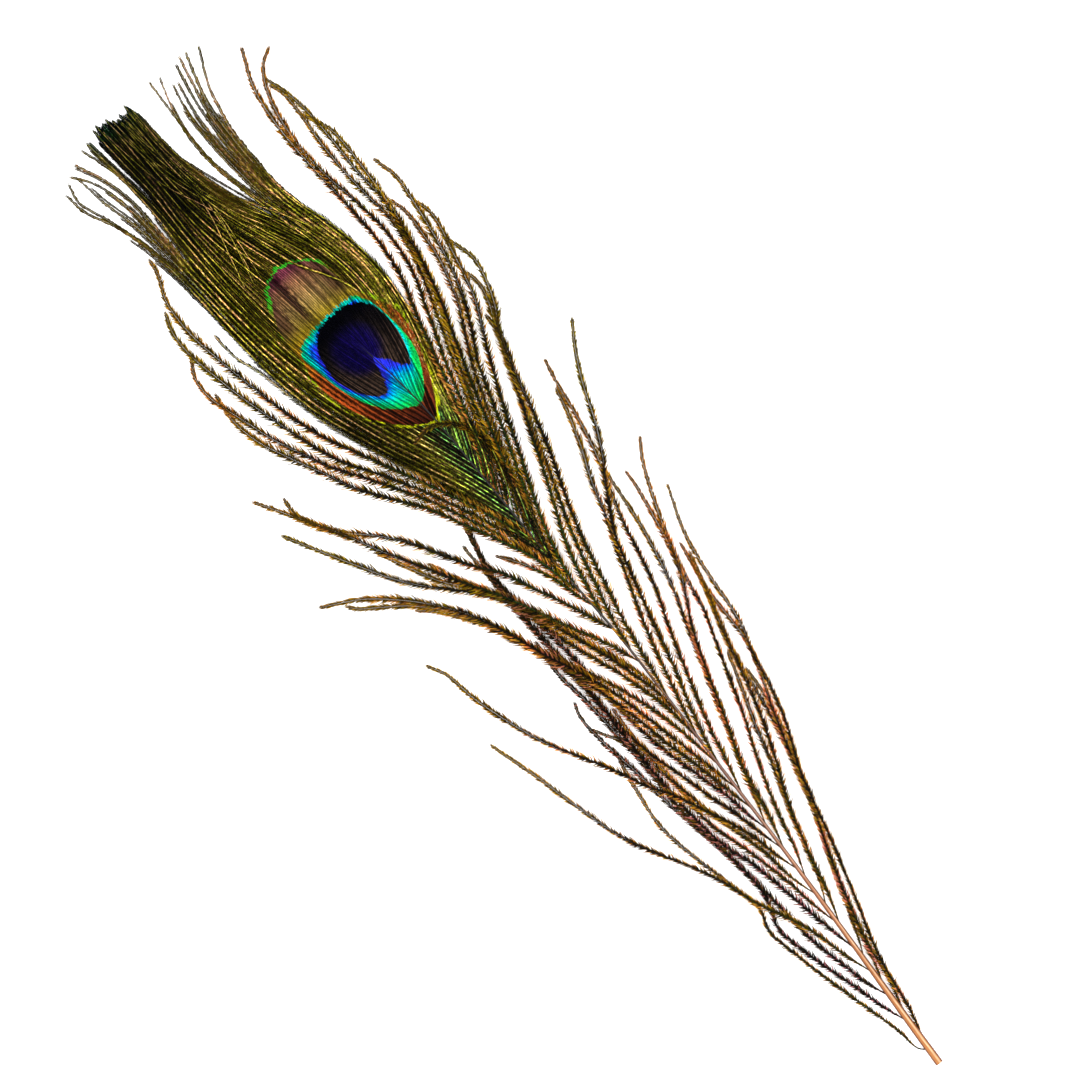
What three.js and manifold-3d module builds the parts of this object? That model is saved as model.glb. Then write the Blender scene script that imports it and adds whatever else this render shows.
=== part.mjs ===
// Peacock tail feather, lying flat with its coloured face up.
//
// One grown piece: the shaft, the leaf-shaped vane that carries the eye, and the locks of barbs
// that spring from both sides of the shaft. They are joined into the single solid "feather".
// Millimetres, +Z up. +Y runs along the feather from the cut end of the quill to the tuft.
// The origin is under the middle of the feather's box, on the surface that it lies on.

import * as THREE from 'three';
import { mergeVertices } from 'three/addons/utils/BufferGeometryUtils.js';
import Module from 'manifold-3d';

// ---- Driving dimensions -------------------------------------------------------------------

// Middle of the feather's box, measured from the centre of the quill's cut end.
const BOX_MIDDLE = new THREE.Vector2(7.33, 151.21);

// Shaft: its middle line in plan, from the cut end to where it dies out in the eye.
const SHAFT_LINE = [
  [0, 0], [0.95, 10], [1.95, 20], [3, 30], [5, 50], [6.75, 70], [8.2, 90], [9.7, 110],
  [10.9, 130], [11, 155], [11.7, 175], [12.4, 198], [11.7, 212], [10.4, 224],
];
// Shaft: how wide it is at a few distances from the cut end.
const SHAFT_WIDTHS = [[0, 2.0], [5, 1.9], [15, 1.75], [25, 1.5], [45, 1.2], [70, 0.9], [110, 0.7],
  [160, 0.55], [224, 0.4]];
const SHAFT_SIDES = 8;
const SHAFT_STEPS = 22;
const SHAFT_LIFT = 1.0; // underside of the shaft above the surface, away from the quill
const SHAFT_LIFT_END = 60; // where the shaft has reached that height

// Vane: the close-knit leaf of barbs around the eye, from the shaft up to the tuft.
const VANE_OUTLINE = [
  [10.4, 152], [7.4, 163.5], [2.6, 176.5], [-2.4, 189.5], [-6.6, 202.5], [-9.2, 215], [-10.4, 228],
  [-11, 242], [-10.9, 257], [-9.9, 268.5], [-8.4, 276], [-6.6, 279], [-4.6, 279.6], [-3, 283],
  [-2.6, 289], [-1.4, 294], [2, 295.4], [5.4, 294], [6.9, 288], [8.4, 280], [11.4, 269.5],
  [16, 260.5], [20.6, 255.5], [24.4, 251], [26.5, 241.5], [27.6, 230], [29.4, 220.5], [31.2, 212],
  [28.6, 202.5], [24.4, 191.5], [19.4, 179.5], [14.8, 166.5], [11.8, 152],
];
const VANE_THICKNESS = 1.2;
const VANE_EDGE = 0.35; // height of the chamfer round its edge
const VANE_EDGE_SET_IN = 0.6;
const VANE_POINTS = 58;

// Locks of barbs. Each line: height of its root up the shaft, width, how far it arches up, and
// the places that it passes in plan, the last of them its tip.
const LEFT_LOCKS = [
  [4, 1, 2, [[-1.5, 6.2], [-2.1, 12], [-4.2, 22], [-6.4, 32], [-8.1, 41], [-9.4, 51], [-7.6, 56],
    [-8.6, 64], [-10.4, 73], [-12.2, 86], [-10.8, 97], [-8.3, 108]]],
  [12, 1.2, 2.6, [[-0.9, 18.5], [-3, 27.5], [-5.1, 36], [-6.8, 44.5], [-7.4, 50], [-5.6, 54.6],
    [-4.2, 60], [-4.7, 71], [-6.2, 82], [-7.3, 92], [-7.9, 101], [-9.1, 112], [-9.1, 119.5],
    [-7.9, 122.7]]],
  [19.5, 1.3, 2.4, [[-0.2, 26], [-1.8, 34.5], [-3.1, 41.5], [-3.5, 52], [-4.2, 64], [-4.9, 75],
    [-5.9, 86], [-5.4, 97], [-5.3, 109], [-5.5, 121], [-6.2, 130], [-5.2, 139.7]]],
  [26.5, 1.3, 3.2, [[0.6, 33.5], [-1.7, 44], [-4.4, 51.5], [-7.2, 58], [-9.6, 66.5], [-13.1, 75],
    [-17.2, 83], [-21, 92], [-24, 104], [-26.2, 114.5], [-28.2, 122.5], [-29.7, 128.5]]],
  [33, 1.5, 3, [[1.6, 43], [0.1, 54], [-1.7, 65.5], [-3.8, 73.5], [-4.8, 84], [-4.8, 96], [-4.3, 108],
    [-3.4, 121], [-3.2, 134], [-3.2, 146], [-2.6, 156], [-1.5, 163], [1.2, 172], [2.8, 176.5]]],
  [41, 1.2, 2, [[3, 47], [1.5, 59], [-0.8, 70.5], [-2.8, 79], [-3.1, 87], [-2.5, 95], [-3, 105],
    [-2, 115.5]]],
  [49.5, 1.2, 2.2, [[3.3, 56], [2.3, 66], [0.6, 74], [-1.1, 82], [-2.6, 92], [-4.3, 102], [-5.4, 108],
    [-7.2, 111.5], [-9, 115]]],
  [57, 1.4, 3.6, [[4.1, 63], [2.9, 70], [0.5, 77.5], [-1.9, 83.5], [-5, 91], [-8.2, 96.5],
    [-11.5, 104.5], [-15.5, 112.5], [-19.5, 120.5], [-23, 131], [-25.2, 140], [-26.3, 148],
    [-28.5, 153]]],
  [63, 1.3, 2.6, [[4.7, 70], [3.2, 78], [1.2, 85.5], [-0.4, 93], [-2.2, 101], [-3.4, 110], [-3.5, 121],
    [-3.6, 134], [-3.4, 146], [-3.2, 156], [-2.9, 168.5]]],
  [68.5, 1.5, 2.8, [[5.6, 74], [4.6, 82], [2.6, 91], [0.6, 101], [-0.4, 110], [-0.9, 120], [-0.9, 131],
    [-1.3, 142], [-2.2, 152], [-2.6, 159], [-0.6, 167], [0.6, 172]]],
  [75, 1.7, 3.8, [[5.9, 82], [4.2, 91.5], [2.2, 101.5], [0.6, 112], [-1.8, 122.5], [-5.2, 133],
    [-8, 142], [-11.4, 151], [-16, 159.5], [-21.5, 166], [-27, 170.5], [-31.5, 174], [-33.5, 176.5]]],
  [81, 1.7, 4.2, [[6.6, 87], [4.9, 97], [3, 107.5], [1, 117.5], [-2.2, 127.5], [-5.8, 137],
    [-8.8, 146.5], [-13, 156], [-18, 163.5], [-23.5, 169.8], [-29.5, 175.2], [-38.4, 180.5]]],
  [88, 1.4, 3.4, [[7, 99], [5.4, 108], [3, 116.5], [0.4, 123.5], [-2.6, 130.5], [-6.4, 139.5],
    [-9.8, 148], [-13.5, 154.5], [-18, 161], [-21.5, 164.5]]],
  [95, 1.5, 2.2, [[8.1, 106], [6.4, 115], [4, 124], [1.2, 132.5], [-0.6, 140], [-2.4, 148.5],
    [-4.6, 154.5], [-8.4, 160.3], [-12.8, 166.5], [-16, 173.3], [-19.5, 181.5]]],
  [102.5, 1.6, 2.6, [[8.6, 112], [6.8, 120.5], [4.5, 129], [1.6, 137.5], [-1, 145.5], [-4.6, 153],
    [-9.5, 160], [-15, 166.3], [-20, 173], [-24.5, 181.2], [-29, 190], [-33.7, 199.3]]],
  [111, 1.5, 2, [[8.3, 118.5], [5.6, 127.5], [2.2, 136], [-0.4, 143.5], [-3, 150.5], [-6.2, 157.5],
    [-9.6, 164.5], [-11.8, 170.8]]],
  [119.5, 1.8, 3.2, [[9.2, 123.3], [6.3, 131], [2.6, 138.5], [-0.4, 146], [-3.6, 153], [-7.4, 160],
    [-11.3, 167.3], [-15, 174.5], [-18.6, 181.5], [-22, 189], [-26.3, 197], [-30, 203.8],
    [-33.5, 210]]],
  [129.5, 1.8, 2.8, [[9.3, 134], [6.2, 142.5], [3, 150], [-0.4, 158], [-4.5, 164], [-8.2, 171],
    [-12.3, 178.5], [-17, 184.6], [-22.5, 190.5], [-26.2, 196], [-27.9, 201], [-27.4, 205.7]]],
  [137, 1.2, 1.2, [[9.7, 142], [8.3, 148], [5.2, 155.5], [1.5, 161.5]]],
  [141, 1.7, 3.6, [[9.9, 146], [8.4, 154], [5.2, 162.5], [1.2, 171.5], [-3, 180.5], [-8.4, 189],
    [-12.8, 196], [-16, 203.5], [-20, 212.5], [-22.9, 220], [-24, 227], [-23.7, 231], [-23, 235.3]]],
  [146, 1.6, 3, [[9.7, 152], [7, 160.5], [3.4, 170], [-0.4, 179.5], [-5, 188.5], [-10, 197.3],
    [-14, 204], [-17, 211], [-19.8, 218], [-21.8, 225], [-23.3, 230.5], [-24.5, 236], [-24, 241.5],
    [-21.2, 246.3]]],
  [150, 1.8, 2.6, [[9.5, 157], [6.4, 166], [2.6, 176], [-1.8, 186], [-6.5, 195], [-11, 203],
    [-14.2, 212], [-16.6, 221.5], [-18.6, 230], [-20.2, 239], [-21.2, 246.5], [-20.8, 253],
    [-19, 258]]],
  [155, 1.8, 2.2, [[9.2, 163], [5.6, 173], [1.6, 183], [-2.6, 192.5], [-6.8, 202], [-10.6, 211],
    [-13.2, 220.5], [-15.2, 231], [-16.8, 241], [-17.8, 250], [-17, 259.5], [-14.2, 266],
    [-13.4, 270]]],
];
const RIGHT_LOCKS = [
  [5, 1.1, 3, [[3.3, 14.5], [6.2, 28.5], [10.9, 42], [16.3, 57.5], [21.5, 74], [28, 88.5],
    [32.2, 103.5], [34.9, 112], [36.6, 124], [38.8, 135], [43.6, 147]]],
  [13, 1.2, 2.4, [[4.5, 23.5], [6.3, 33], [10.3, 46], [14.4, 57], [18.9, 67.5], [22.7, 79],
    [26.8, 90.5], [30.5, 99], [32.9, 107], [33.5, 114], [34.2, 123], [36.6, 134.5]]],
  [22, 1.2, 2, [[4.3, 28], [6.9, 36], [11.2, 49.5], [16.3, 61.5], [20.6, 73.5], [24.1, 84.5],
    [26.1, 93], [27.5, 101], [29.1, 108.5], [31.4, 115.5], [33.6, 122], [36, 130]]],
  [30.5, 1.2, 1.6, [[5.3, 35], [8.8, 43.5], [13.4, 54.5], [18.3, 66], [22, 76], [25.6, 86],
    [27.6, 94.5], [28.4, 101.4]]],
  [40, 1.3, 2.6, [[7.1, 48], [10.7, 60], [14.5, 71], [18.8, 80], [23, 89.5], [25.9, 98], [28.4, 106],
    [31, 114], [34, 122.5], [36.8, 131.5]]],
  [46, 1.2, 2, [[8, 52.5], [11.1, 62], [14.8, 72.5], [17.8, 80.5], [21, 90], [24, 97.5],
    [27.8, 107.5]]],
  [54, 1.2, 3.2, [[8.2, 61], [11.7, 72.5], [16.1, 84], [20.6, 94], [24.4, 104], [27.5, 112],
    [30.3, 119.5], [31.8, 126], [34, 134], [36.9, 142], [39.8, 148.7], [43, 155.3], [46.3, 160]]],
  [62.5, 1.3, 2.4, [[8.8, 71], [11.4, 81.5], [14.9, 92.5], [18.4, 102], [22.2, 112], [24.5, 118.5],
    [27.5, 126], [30.2, 135], [32.2, 143.5], [33.6, 152], [34.8, 160]]],
  [70, 1.3, 3.4, [[9.6, 77.5], [12.5, 86], [16.5, 95.5], [20, 105], [24.5, 116], [28.7, 123.5],
    [32.5, 130.5], [34.8, 138], [36.6, 146], [37.8, 152], [38.2, 156]]],
  [79, 1.3, 2.8, [[10.2, 88.5], [12.8, 98], [16.8, 109.5], [21, 121], [24.8, 130], [27.6, 139.5],
    [29.6, 147], [32, 154], [34.4, 160], [36.2, 165.5], [38.2, 173.5], [39.8, 182], [41.6, 189]]],
  [87.5, 1.5, 4.4, [[9.9, 96], [12.6, 104.5], [16.2, 115], [19.8, 127], [23.3, 138], [26, 146],
    [29.5, 152], [32.9, 157.5], [36.2, 162], [40.5, 169.5], [44.5, 178.5], [48.5, 185.7], [53, 192]]],
  [96.5, 1.5, 3.2, [[11.2, 106], [14.4, 117], [18, 128], [22, 138], [25, 145.5], [27.8, 152],
    [30.7, 160], [34.3, 168], [37.3, 176], [39, 182]]],
  [107.5, 1.6, 4, [[11.1, 115], [13.4, 127], [16.3, 138], [18.4, 146], [21, 154.5], [23.9, 162],
    [27, 169.5], [30, 178], [33, 187.5], [35.8, 195.5], [38.4, 202.3], [41.3, 206.7], [44.2, 214],
    [45, 219], [44.2, 223], [43, 227]]],
  [122, 1.6, 3, [[12.1, 131], [14.8, 140.5], [17, 148], [19.4, 155], [22.3, 162.5], [25.6, 171],
    [28.8, 179.5], [32, 188], [34.8, 195], [37.4, 201], [38.2, 206.4]]],
  [133.5, 1.6, 3.4, [[12.8, 141], [15, 149.5], [17.8, 156.5], [20.8, 163], [24, 170], [27.2, 177.5],
    [30.2, 184], [33.2, 191], [36.3, 198.5], [39.3, 205], [41.6, 211], [41.9, 215], [41, 218]]],
  [143, 1.7, 4.2, [[12, 149.5], [13.9, 156], [16.4, 163], [19.2, 169.5], [22.3, 176.5], [25.4, 184],
    [28.7, 191.3], [32, 198], [35.3, 204.3], [38.4, 210.2], [40.7, 217], [42.3, 223], [44.3, 230.5],
    [44.6, 234], [43.9, 237.8]]],
  [150, 1.7, 3.8, [[13.4, 159], [16.6, 167], [19.8, 175], [22.8, 182.5], [25.8, 190.5], [29.2, 199],
    [33.3, 206], [36.5, 212.3], [39.1, 219], [41, 226], [42.3, 232.5], [43.4, 239], [44.2, 245.5],
    [43, 252.2]]],
  [155, 1.6, 3, [[13.8, 163], [16.8, 171], [19.5, 178.5], [22, 185.5], [24.6, 192], [27.6, 199],
    [31.3, 206], [34.8, 212.3], [37.2, 218.5], [38.9, 224.5], [39.8, 231], [40.3, 238], [39.4, 242.3]]],
  [160, 1.5, 4.4, [[15, 168.5], [18, 177], [21.5, 187], [25, 197], [29, 207.5], [32.3, 216],
    [34.8, 224], [36.8, 232.5], [38.2, 239], [39, 245.5], [39.6, 252], [40.1, 259], [39.9, 264.5],
    [37.2, 271.8]]],
  [164, 1.5, 3.8, [[15.3, 172], [18.9, 183], [22.5, 194], [26.5, 204], [30.5, 213], [33.8, 221.5],
    [35.8, 230], [37.3, 238], [38.2, 244.5], [38, 252], [38.4, 260], [38.7, 268], [38.2, 276],
    [36.5, 283.8]]],
  [168, 1.5, 3.2, [[15.7, 176.5], [19.5, 188.5], [23.7, 200], [28.3, 211], [32.2, 221], [35.1, 230.5],
    [36.4, 238.5], [35.9, 247], [35.7, 256], [36.1, 264], [37, 272], [37.2, 278], [36.2, 282]]],
  [172, 1.6, 4.6, [[15.9, 181], [19.3, 192.5], [23.7, 205], [28.6, 217], [32.3, 227], [33.6, 238],
    [33, 247], [31.8, 256.5], [31.6, 266], [32.8, 275], [35.3, 282.5], [38.2, 286.7], [42, 289]]],
  [176, 1.7, 4, [[15.9, 184.5], [18.8, 195], [22.5, 207], [26.2, 218.5], [29.4, 228], [30.8, 239],
    [30.8, 251], [30.6, 263], [31.1, 274.5], [32.9, 284.3], [37, 293.2]]],
  [163, 0.9, 1.2, [[15.8, 175], [17.6, 183], [17, 188.5], [14.3, 192.7], [10, 195.2], [5, 194.6]]],
];
// Locks that run round the left of the eye and part again at the tuft.
const LEFT_VANE_LOCKS = [
  [158, 1.5, 0.3, [[8.8, 167], [4.9, 177], [0.8, 188], [-3.4, 199], [-7.2, 210], [-9.6, 221],
    [-11.3, 231], [-13.5, 239], [-13.8, 246]]],
  [161, 1.5, 0.3, [[8.5, 171], [4.5, 182], [0.2, 193], [-3.8, 204], [-7.4, 215], [-9.4, 226],
    [-10.4, 238], [-10.6, 250], [-10.8, 262], [-11.9, 272.5], [-14, 281], [-17.2, 288.5],
    [-18, 294.5]]],
  [164, 1.4, 0.3, [[8.2, 175], [4.2, 186], [-0.2, 197], [-4, 208], [-7, 219], [-8.6, 230], [-9.5, 242],
    [-9.8, 254], [-10.6, 266], [-12.3, 275.5], [-14.4, 283.5], [-16.8, 291.5], [-15.8, 296.2]]],
  [167, 1.3, 0.3, [[8.1, 178.5], [4.1, 189.5], [-0.2, 200.5], [-3.6, 211.5], [-6.2, 222.5], [-7.8, 234],
    [-8.7, 246], [-9.1, 258], [-9.6, 269], [-10.6, 279], [-12.3, 287], [-13.2, 296]]],
  [170, 1.4, 0.3, [[8.2, 181], [4.2, 192], [0.2, 203], [-3, 214], [-5.4, 225], [-7, 237], [-7.8, 249],
    [-8.2, 261], [-8.2, 273], [-9, 284], [-11, 292], [-14.2, 297.2]]],
  [173, 1.4, 0.3, [[8.4, 183.5], [4.5, 194], [0.8, 205], [-2.2, 216], [-4.5, 227], [-6.1, 239],
    [-6.9, 251], [-7.2, 263], [-7, 275], [-7.2, 284], [-8.9, 292], [-11.6, 298.6]]],
  [176, 1.4, 0.3, [[8.6, 186], [4.9, 196.5], [1.2, 207], [-1.6, 218], [-3.7, 229], [-5, 241],
    [-5.7, 253], [-5.8, 265], [-5.1, 277], [-5.4, 289], [-6.8, 296], [-8, 300]]],
];
// Locks that run round the right of the eye and end in the fan beside the tuft.
const RIGHT_VANE_LOCKS = [
  [180, 1.5, 0.3, [[16.3, 189.5], [19.5, 200], [23, 211], [25.7, 222], [26.7, 232], [26.1, 241],
    [24.6, 249.5], [22.5, 257], [21.6, 264], [21.7, 272], [22.1, 280], [23.3, 285.5], [25.2, 291.8],
    [29.5, 300.2]]],
  [182, 1.5, 0.3, [[15.6, 190], [18.7, 201], [22.2, 212], [24.9, 222], [25.9, 232], [25.2, 241],
    [23.7, 249.5], [21.8, 258], [20.9, 268], [21, 278], [22, 288], [24.2, 295.5], [26.2, 301.2]]],
  [184, 1.5, 0.3, [[15.5, 192], [18.3, 202.5], [21.5, 213], [24.1, 223], [25.1, 232], [24.4, 241],
    [22.7, 250], [20.8, 259], [20, 268], [20, 278], [20.9, 288], [22.7, 295], [24.3, 301.3]]],
  [186, 1.5, 0.3, [[15.6, 194.5], [18.4, 204.5], [21.3, 214.5], [23.5, 224], [24.4, 233], [23.5, 242],
    [21.6, 251], [19.9, 259.5], [19, 268.5], [19, 278.5], [20.1, 290], [22.5, 300.4]]],
  [188, 1.4, 0.3, [[15.4, 196], [18, 205.5], [20.9, 215.5], [22.8, 225], [23.6, 234], [22.5, 243],
    [20.6, 251.5], [18.9, 260], [17.9, 269], [17.5, 279], [18.3, 289], [20, 296.8]]],
  [190, 1.3, 0.3, [[15.3, 197.5], [17.8, 206.5], [20.6, 216], [22.3, 226], [22.9, 235], [21.6, 244],
    [19.4, 252.5], [17.8, 261], [16.9, 270], [16.6, 280], [17, 290], [18.8, 297.3]]],
  [192, 1.3, 0.3, [[15.2, 199], [17.7, 207.5], [20.3, 217], [21.8, 227], [22.1, 236], [20.6, 245],
    [18.6, 254], [16.3, 262.5], [14.3, 271], [13.5, 280], [14, 290], [14.9, 301.5]]],
  [193, 1.1, 0.3, [[15.4, 200.5], [18, 210], [20.2, 220], [20.9, 230], [20.3, 239], [18.6, 248.5],
    [16.6, 257.5], [14.8, 266.5], [13.4, 275], [13.2, 284], [14.6, 292], [17.5, 300.7]]],
];
// Locks in the middle of the vane, from above the eye to the square end of the tuft.
const TUFT_LOCK_WIDTH = 1.4;
const TUFT_ARCH = 0.3;
const TUFT_ROOT = 200;
const TUFT_TIPS = [[-6, 300.7], [-4.4, 300.2], [-2.8, 302.2], [-1.4, 302.5], [0, 301.8], [1.2, 302],
  [2.3, 300.6], [3.5, 300], [4.4, 300.7], [5.6, 299.7], [6.7, 301.5]];
const TUFT_ROWS = [
  { y: 228, left: -2.4, right: 21.6 },
  { y: 245, left: -3.4, right: 19.4 },
  { y: 262, left: -4.6, right: 12.4 },
  { y: 280, left: -4.3, right: 7.6 },
];

const LOCK_HEIGHT = 0.55; // of its width
const VANE_LOCK_END = 0.65; // how high a lock of the vane is at its tip
const LOCK_STEP = 14; // distance between its sections
const TIP_WIDTH = 0.35; // of its width
const ROOT_WIDTH = 0.4; // of its width, inside the shaft
const FULL_WIDTH_AT = 0.16; // of the way along
const TAPER_FROM = 0.8; // of the way along
const ROOT_SINK = 0.25; // how far a root lies below the middle of the shaft

const FEATHER_COLOUR = 0x5a5220;
const FEATHER_ROUGHNESS = 0.55;

// ---- Helpers ------------------------------------------------------------------------------

const { clamp, lerp, smoothstep } = THREE.MathUtils;

const wasm = await Module();
wasm.setup();

// A smooth curve in plan through the given places.
function planCurve(places, closed = false) {
  const points = places.map(([x, y]) => new THREE.Vector3(x, y, 0));
  return new THREE.CatmullRomCurve3(points, closed, 'centripetal');
}

// The value at a distance, from a list of [distance, value] pairs.
function between(pairs, distance) {
  const next = clamp(pairs.findIndex(([at]) => at > distance), 1, pairs.length - 1);
  const [from, before] = pairs[next - 1];
  const [to, after] = pairs[next];
  return lerp(before, after, clamp((distance - from) / (to - from), 0, 1));
}

// Bends a closed prism along a line in plan. shape(along, middle) gives the section's width, its
// height and the height of its underside there. A 3-sided prism is a ridge on a flat underside.
function bentPrism(curve, sides, steps, shape) {
  const geometry = new THREE.CylinderGeometry(1, 1, 1, sides, steps);
  const position = geometry.attributes.position;
  geometry.computeBoundingBox();
  const { min, max } = geometry.boundingBox;
  for (let i = 0; i < position.count; i += 1) {
    const along = clamp(position.getY(i) + 0.5, 0, 1);
    const middle = curve.getPointAt(along);
    const forward = curve.getTangentAt(along);
    const { width, height, base } = shape(along, middle);
    const across = (position.getX(i) / (max.x - min.x)) * width;
    const up = base + ((position.getZ(i) - min.z) / (max.z - min.z)) * height;
    position.setXYZ(i, middle.x + forward.y * across, middle.y - forward.x * across, up);
  }
  return geometry;
}

// A three.js geometry as a manifold solid.
function solid(geometry) {
  geometry.deleteAttribute('normal');
  geometry.deleteAttribute('uv');
  const merged = mergeVertices(geometry);
  return new wasm.Manifold(new wasm.Mesh({
    numProp: 3,
    vertProperties: new Float32Array(merged.attributes.position.array),
    triVerts: new Uint32Array(merged.index.array),
  }));
}

// A manifold solid as a three.js geometry.
function geometryOf(body) {
  const mesh = body.getMesh();
  const geometry = new THREE.BufferGeometry();
  geometry.setAttribute('position', new THREE.BufferAttribute(mesh.vertProperties, 3));
  geometry.setIndex(new THREE.BufferAttribute(mesh.triVerts, 1));
  geometry.computeVertexNormals();
  return geometry;
}

// ---- The shaft ----------------------------------------------------------------------------

const shaftCurve = planCurve(SHAFT_LINE);

// Where the shaft's middle line is at a height up the feather, and its width there.
function shaftAt(y) {
  const width = between(SHAFT_WIDTHS, y);
  const lift = SHAFT_LIFT * smoothstep(y, 0, SHAFT_LIFT_END);
  return { x: between(SHAFT_LINE.map(([x, at]) => [at, x]), y), width, lift };
}

function shaft() {
  return bentPrism(shaftCurve, SHAFT_SIDES, SHAFT_STEPS, (along, middle) => {
    const { width, lift } = shaftAt(middle.y);
    return { width, height: width, base: lift };
  });
}

// ---- The vane -----------------------------------------------------------------------------

function vane() {
  const outline = planCurve(VANE_OUTLINE, true).getSpacedPoints(VANE_POINTS).slice(0, -1);
  const face = new THREE.Shape(outline.map(({ x, y }) => new THREE.Vector2(x, y)));
  const geometry = new THREE.ExtrudeGeometry(face, {
    depth: VANE_THICKNESS - 2 * VANE_EDGE,
    bevelThickness: VANE_EDGE,
    bevelSize: VANE_EDGE_SET_IN,
    bevelOffset: -VANE_EDGE_SET_IN,
    bevelSegments: 1,
  });
  geometry.translate(0, 0, VANE_EDGE);
  return geometry;
}

// ---- The locks ----------------------------------------------------------------------------

// One lock: a ridge with a flat underside, thin at its root, that arches up and comes down
// towards its tip.
function lock([rootHeight, width, arch, places], tipBase) {
  const root = shaftAt(rootHeight);
  const curve = planCurve([[root.x, rootHeight], ...places]);
  const rootBase = root.lift + root.width / 2 - ROOT_SINK;
  return bentPrism(curve, 3, Math.round(curve.getLength() / LOCK_STEP), (along) => {
    const opening = smoothstep(along, 0, FULL_WIDTH_AT);
    const closing = smoothstep(along, TAPER_FROM, 1);
    const there = width * lerp(ROOT_WIDTH, 1, opening) * lerp(1, TIP_WIDTH, closing);
    const base = lerp(rootBase, tipBase, along) + arch * Math.sin(Math.PI * along);
    return { width: there, height: there * LOCK_HEIGHT, base };
  });
}

// The locks of the tuft fan out over the eye and close up again towards their tips.
function tuftLocks() {
  return TUFT_TIPS.map((tip, index) => {
    const share = index / (TUFT_TIPS.length - 1);
    const rows = TUFT_ROWS.map(({ y, left, right }) => [lerp(left, right, share), y]);
    return [TUFT_ROOT, TUFT_LOCK_WIDTH, TUFT_ARCH, [...rows, tip]];
  });
}

// ---- The feather --------------------------------------------------------------------------

function feather() {
  const loose = [...LEFT_LOCKS, ...RIGHT_LOCKS].map((row) => lock(row, 0));
  const close = [...LEFT_VANE_LOCKS, ...RIGHT_VANE_LOCKS, ...tuftLocks()]
    .map((row) => lock(row, VANE_LOCK_END));
  const pieces = [shaft(), vane(), ...loose, ...close].map(solid);
  const body = pieces.reduce((whole, piece) => whole.add(piece));
  const geometry = geometryOf(body);
  geometry.translate(-BOX_MIDDLE.x, -BOX_MIDDLE.y, 0);
  const material = new THREE.MeshStandardMaterial({
    color: FEATHER_COLOUR,
    roughness: FEATHER_ROUGHNESS,
    metalness: 0,
  });
  const mesh = new THREE.Mesh(geometry, material);
  mesh.name = 'feather';
  return mesh;
}

const group = new THREE.Group();
group.add(feather());

export default group;
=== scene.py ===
# Peacock tail feather: the shaft, the loose barbs along it, the close vane and its eye.
#
# Places are written in millimetres in the feather's own frame: X to the right, Y up the feather
# from the middle of the quill's cut end, Z up from the surface that it lies on.

from collections import namedtuple

import bmesh
import bpy
import numpy as np
from mathutils import Matrix, Vector


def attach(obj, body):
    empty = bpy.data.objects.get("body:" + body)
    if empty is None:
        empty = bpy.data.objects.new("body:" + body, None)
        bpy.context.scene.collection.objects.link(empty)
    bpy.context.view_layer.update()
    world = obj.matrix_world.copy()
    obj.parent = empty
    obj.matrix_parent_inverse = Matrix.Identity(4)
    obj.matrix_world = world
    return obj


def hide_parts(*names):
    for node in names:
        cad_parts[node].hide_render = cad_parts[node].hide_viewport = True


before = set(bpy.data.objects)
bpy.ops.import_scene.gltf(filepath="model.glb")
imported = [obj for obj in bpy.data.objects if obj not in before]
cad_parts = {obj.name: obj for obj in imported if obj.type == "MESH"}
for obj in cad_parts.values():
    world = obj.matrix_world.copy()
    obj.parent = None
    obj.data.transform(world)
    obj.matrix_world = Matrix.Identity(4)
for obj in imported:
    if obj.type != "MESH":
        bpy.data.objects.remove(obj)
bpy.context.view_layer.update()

# ---- The feather's dimensions ---------------------------------------------------------------

MM = 0.001
BOX_MIDDLE = np.array([7.33, 151.21, 0.0])  # middle of the feather's box, where the origin is

# The shaft's middle line in plan, and how wide it is at some distances from the cut end.
SHAFT_LINE = [[0, 0], [0.95, 10], [1.95, 20], [3, 30], [5, 50], [6.75, 70], [8.2, 90], [9.7, 110],
    [10.9, 130], [11, 155], [11.7, 175], [12.4, 198], [11.7, 212], [10.4, 224]]
SHAFT_WIDTHS = [[0, 2.0], [5, 1.9], [15, 1.75], [25, 1.5], [45, 1.2], [70, 0.9], [110, 0.7],
    [160, 0.55], [224, 0.3]]
SHAFT_LIFT = 1.0
SHAFT_LIFT_END = 60

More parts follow.
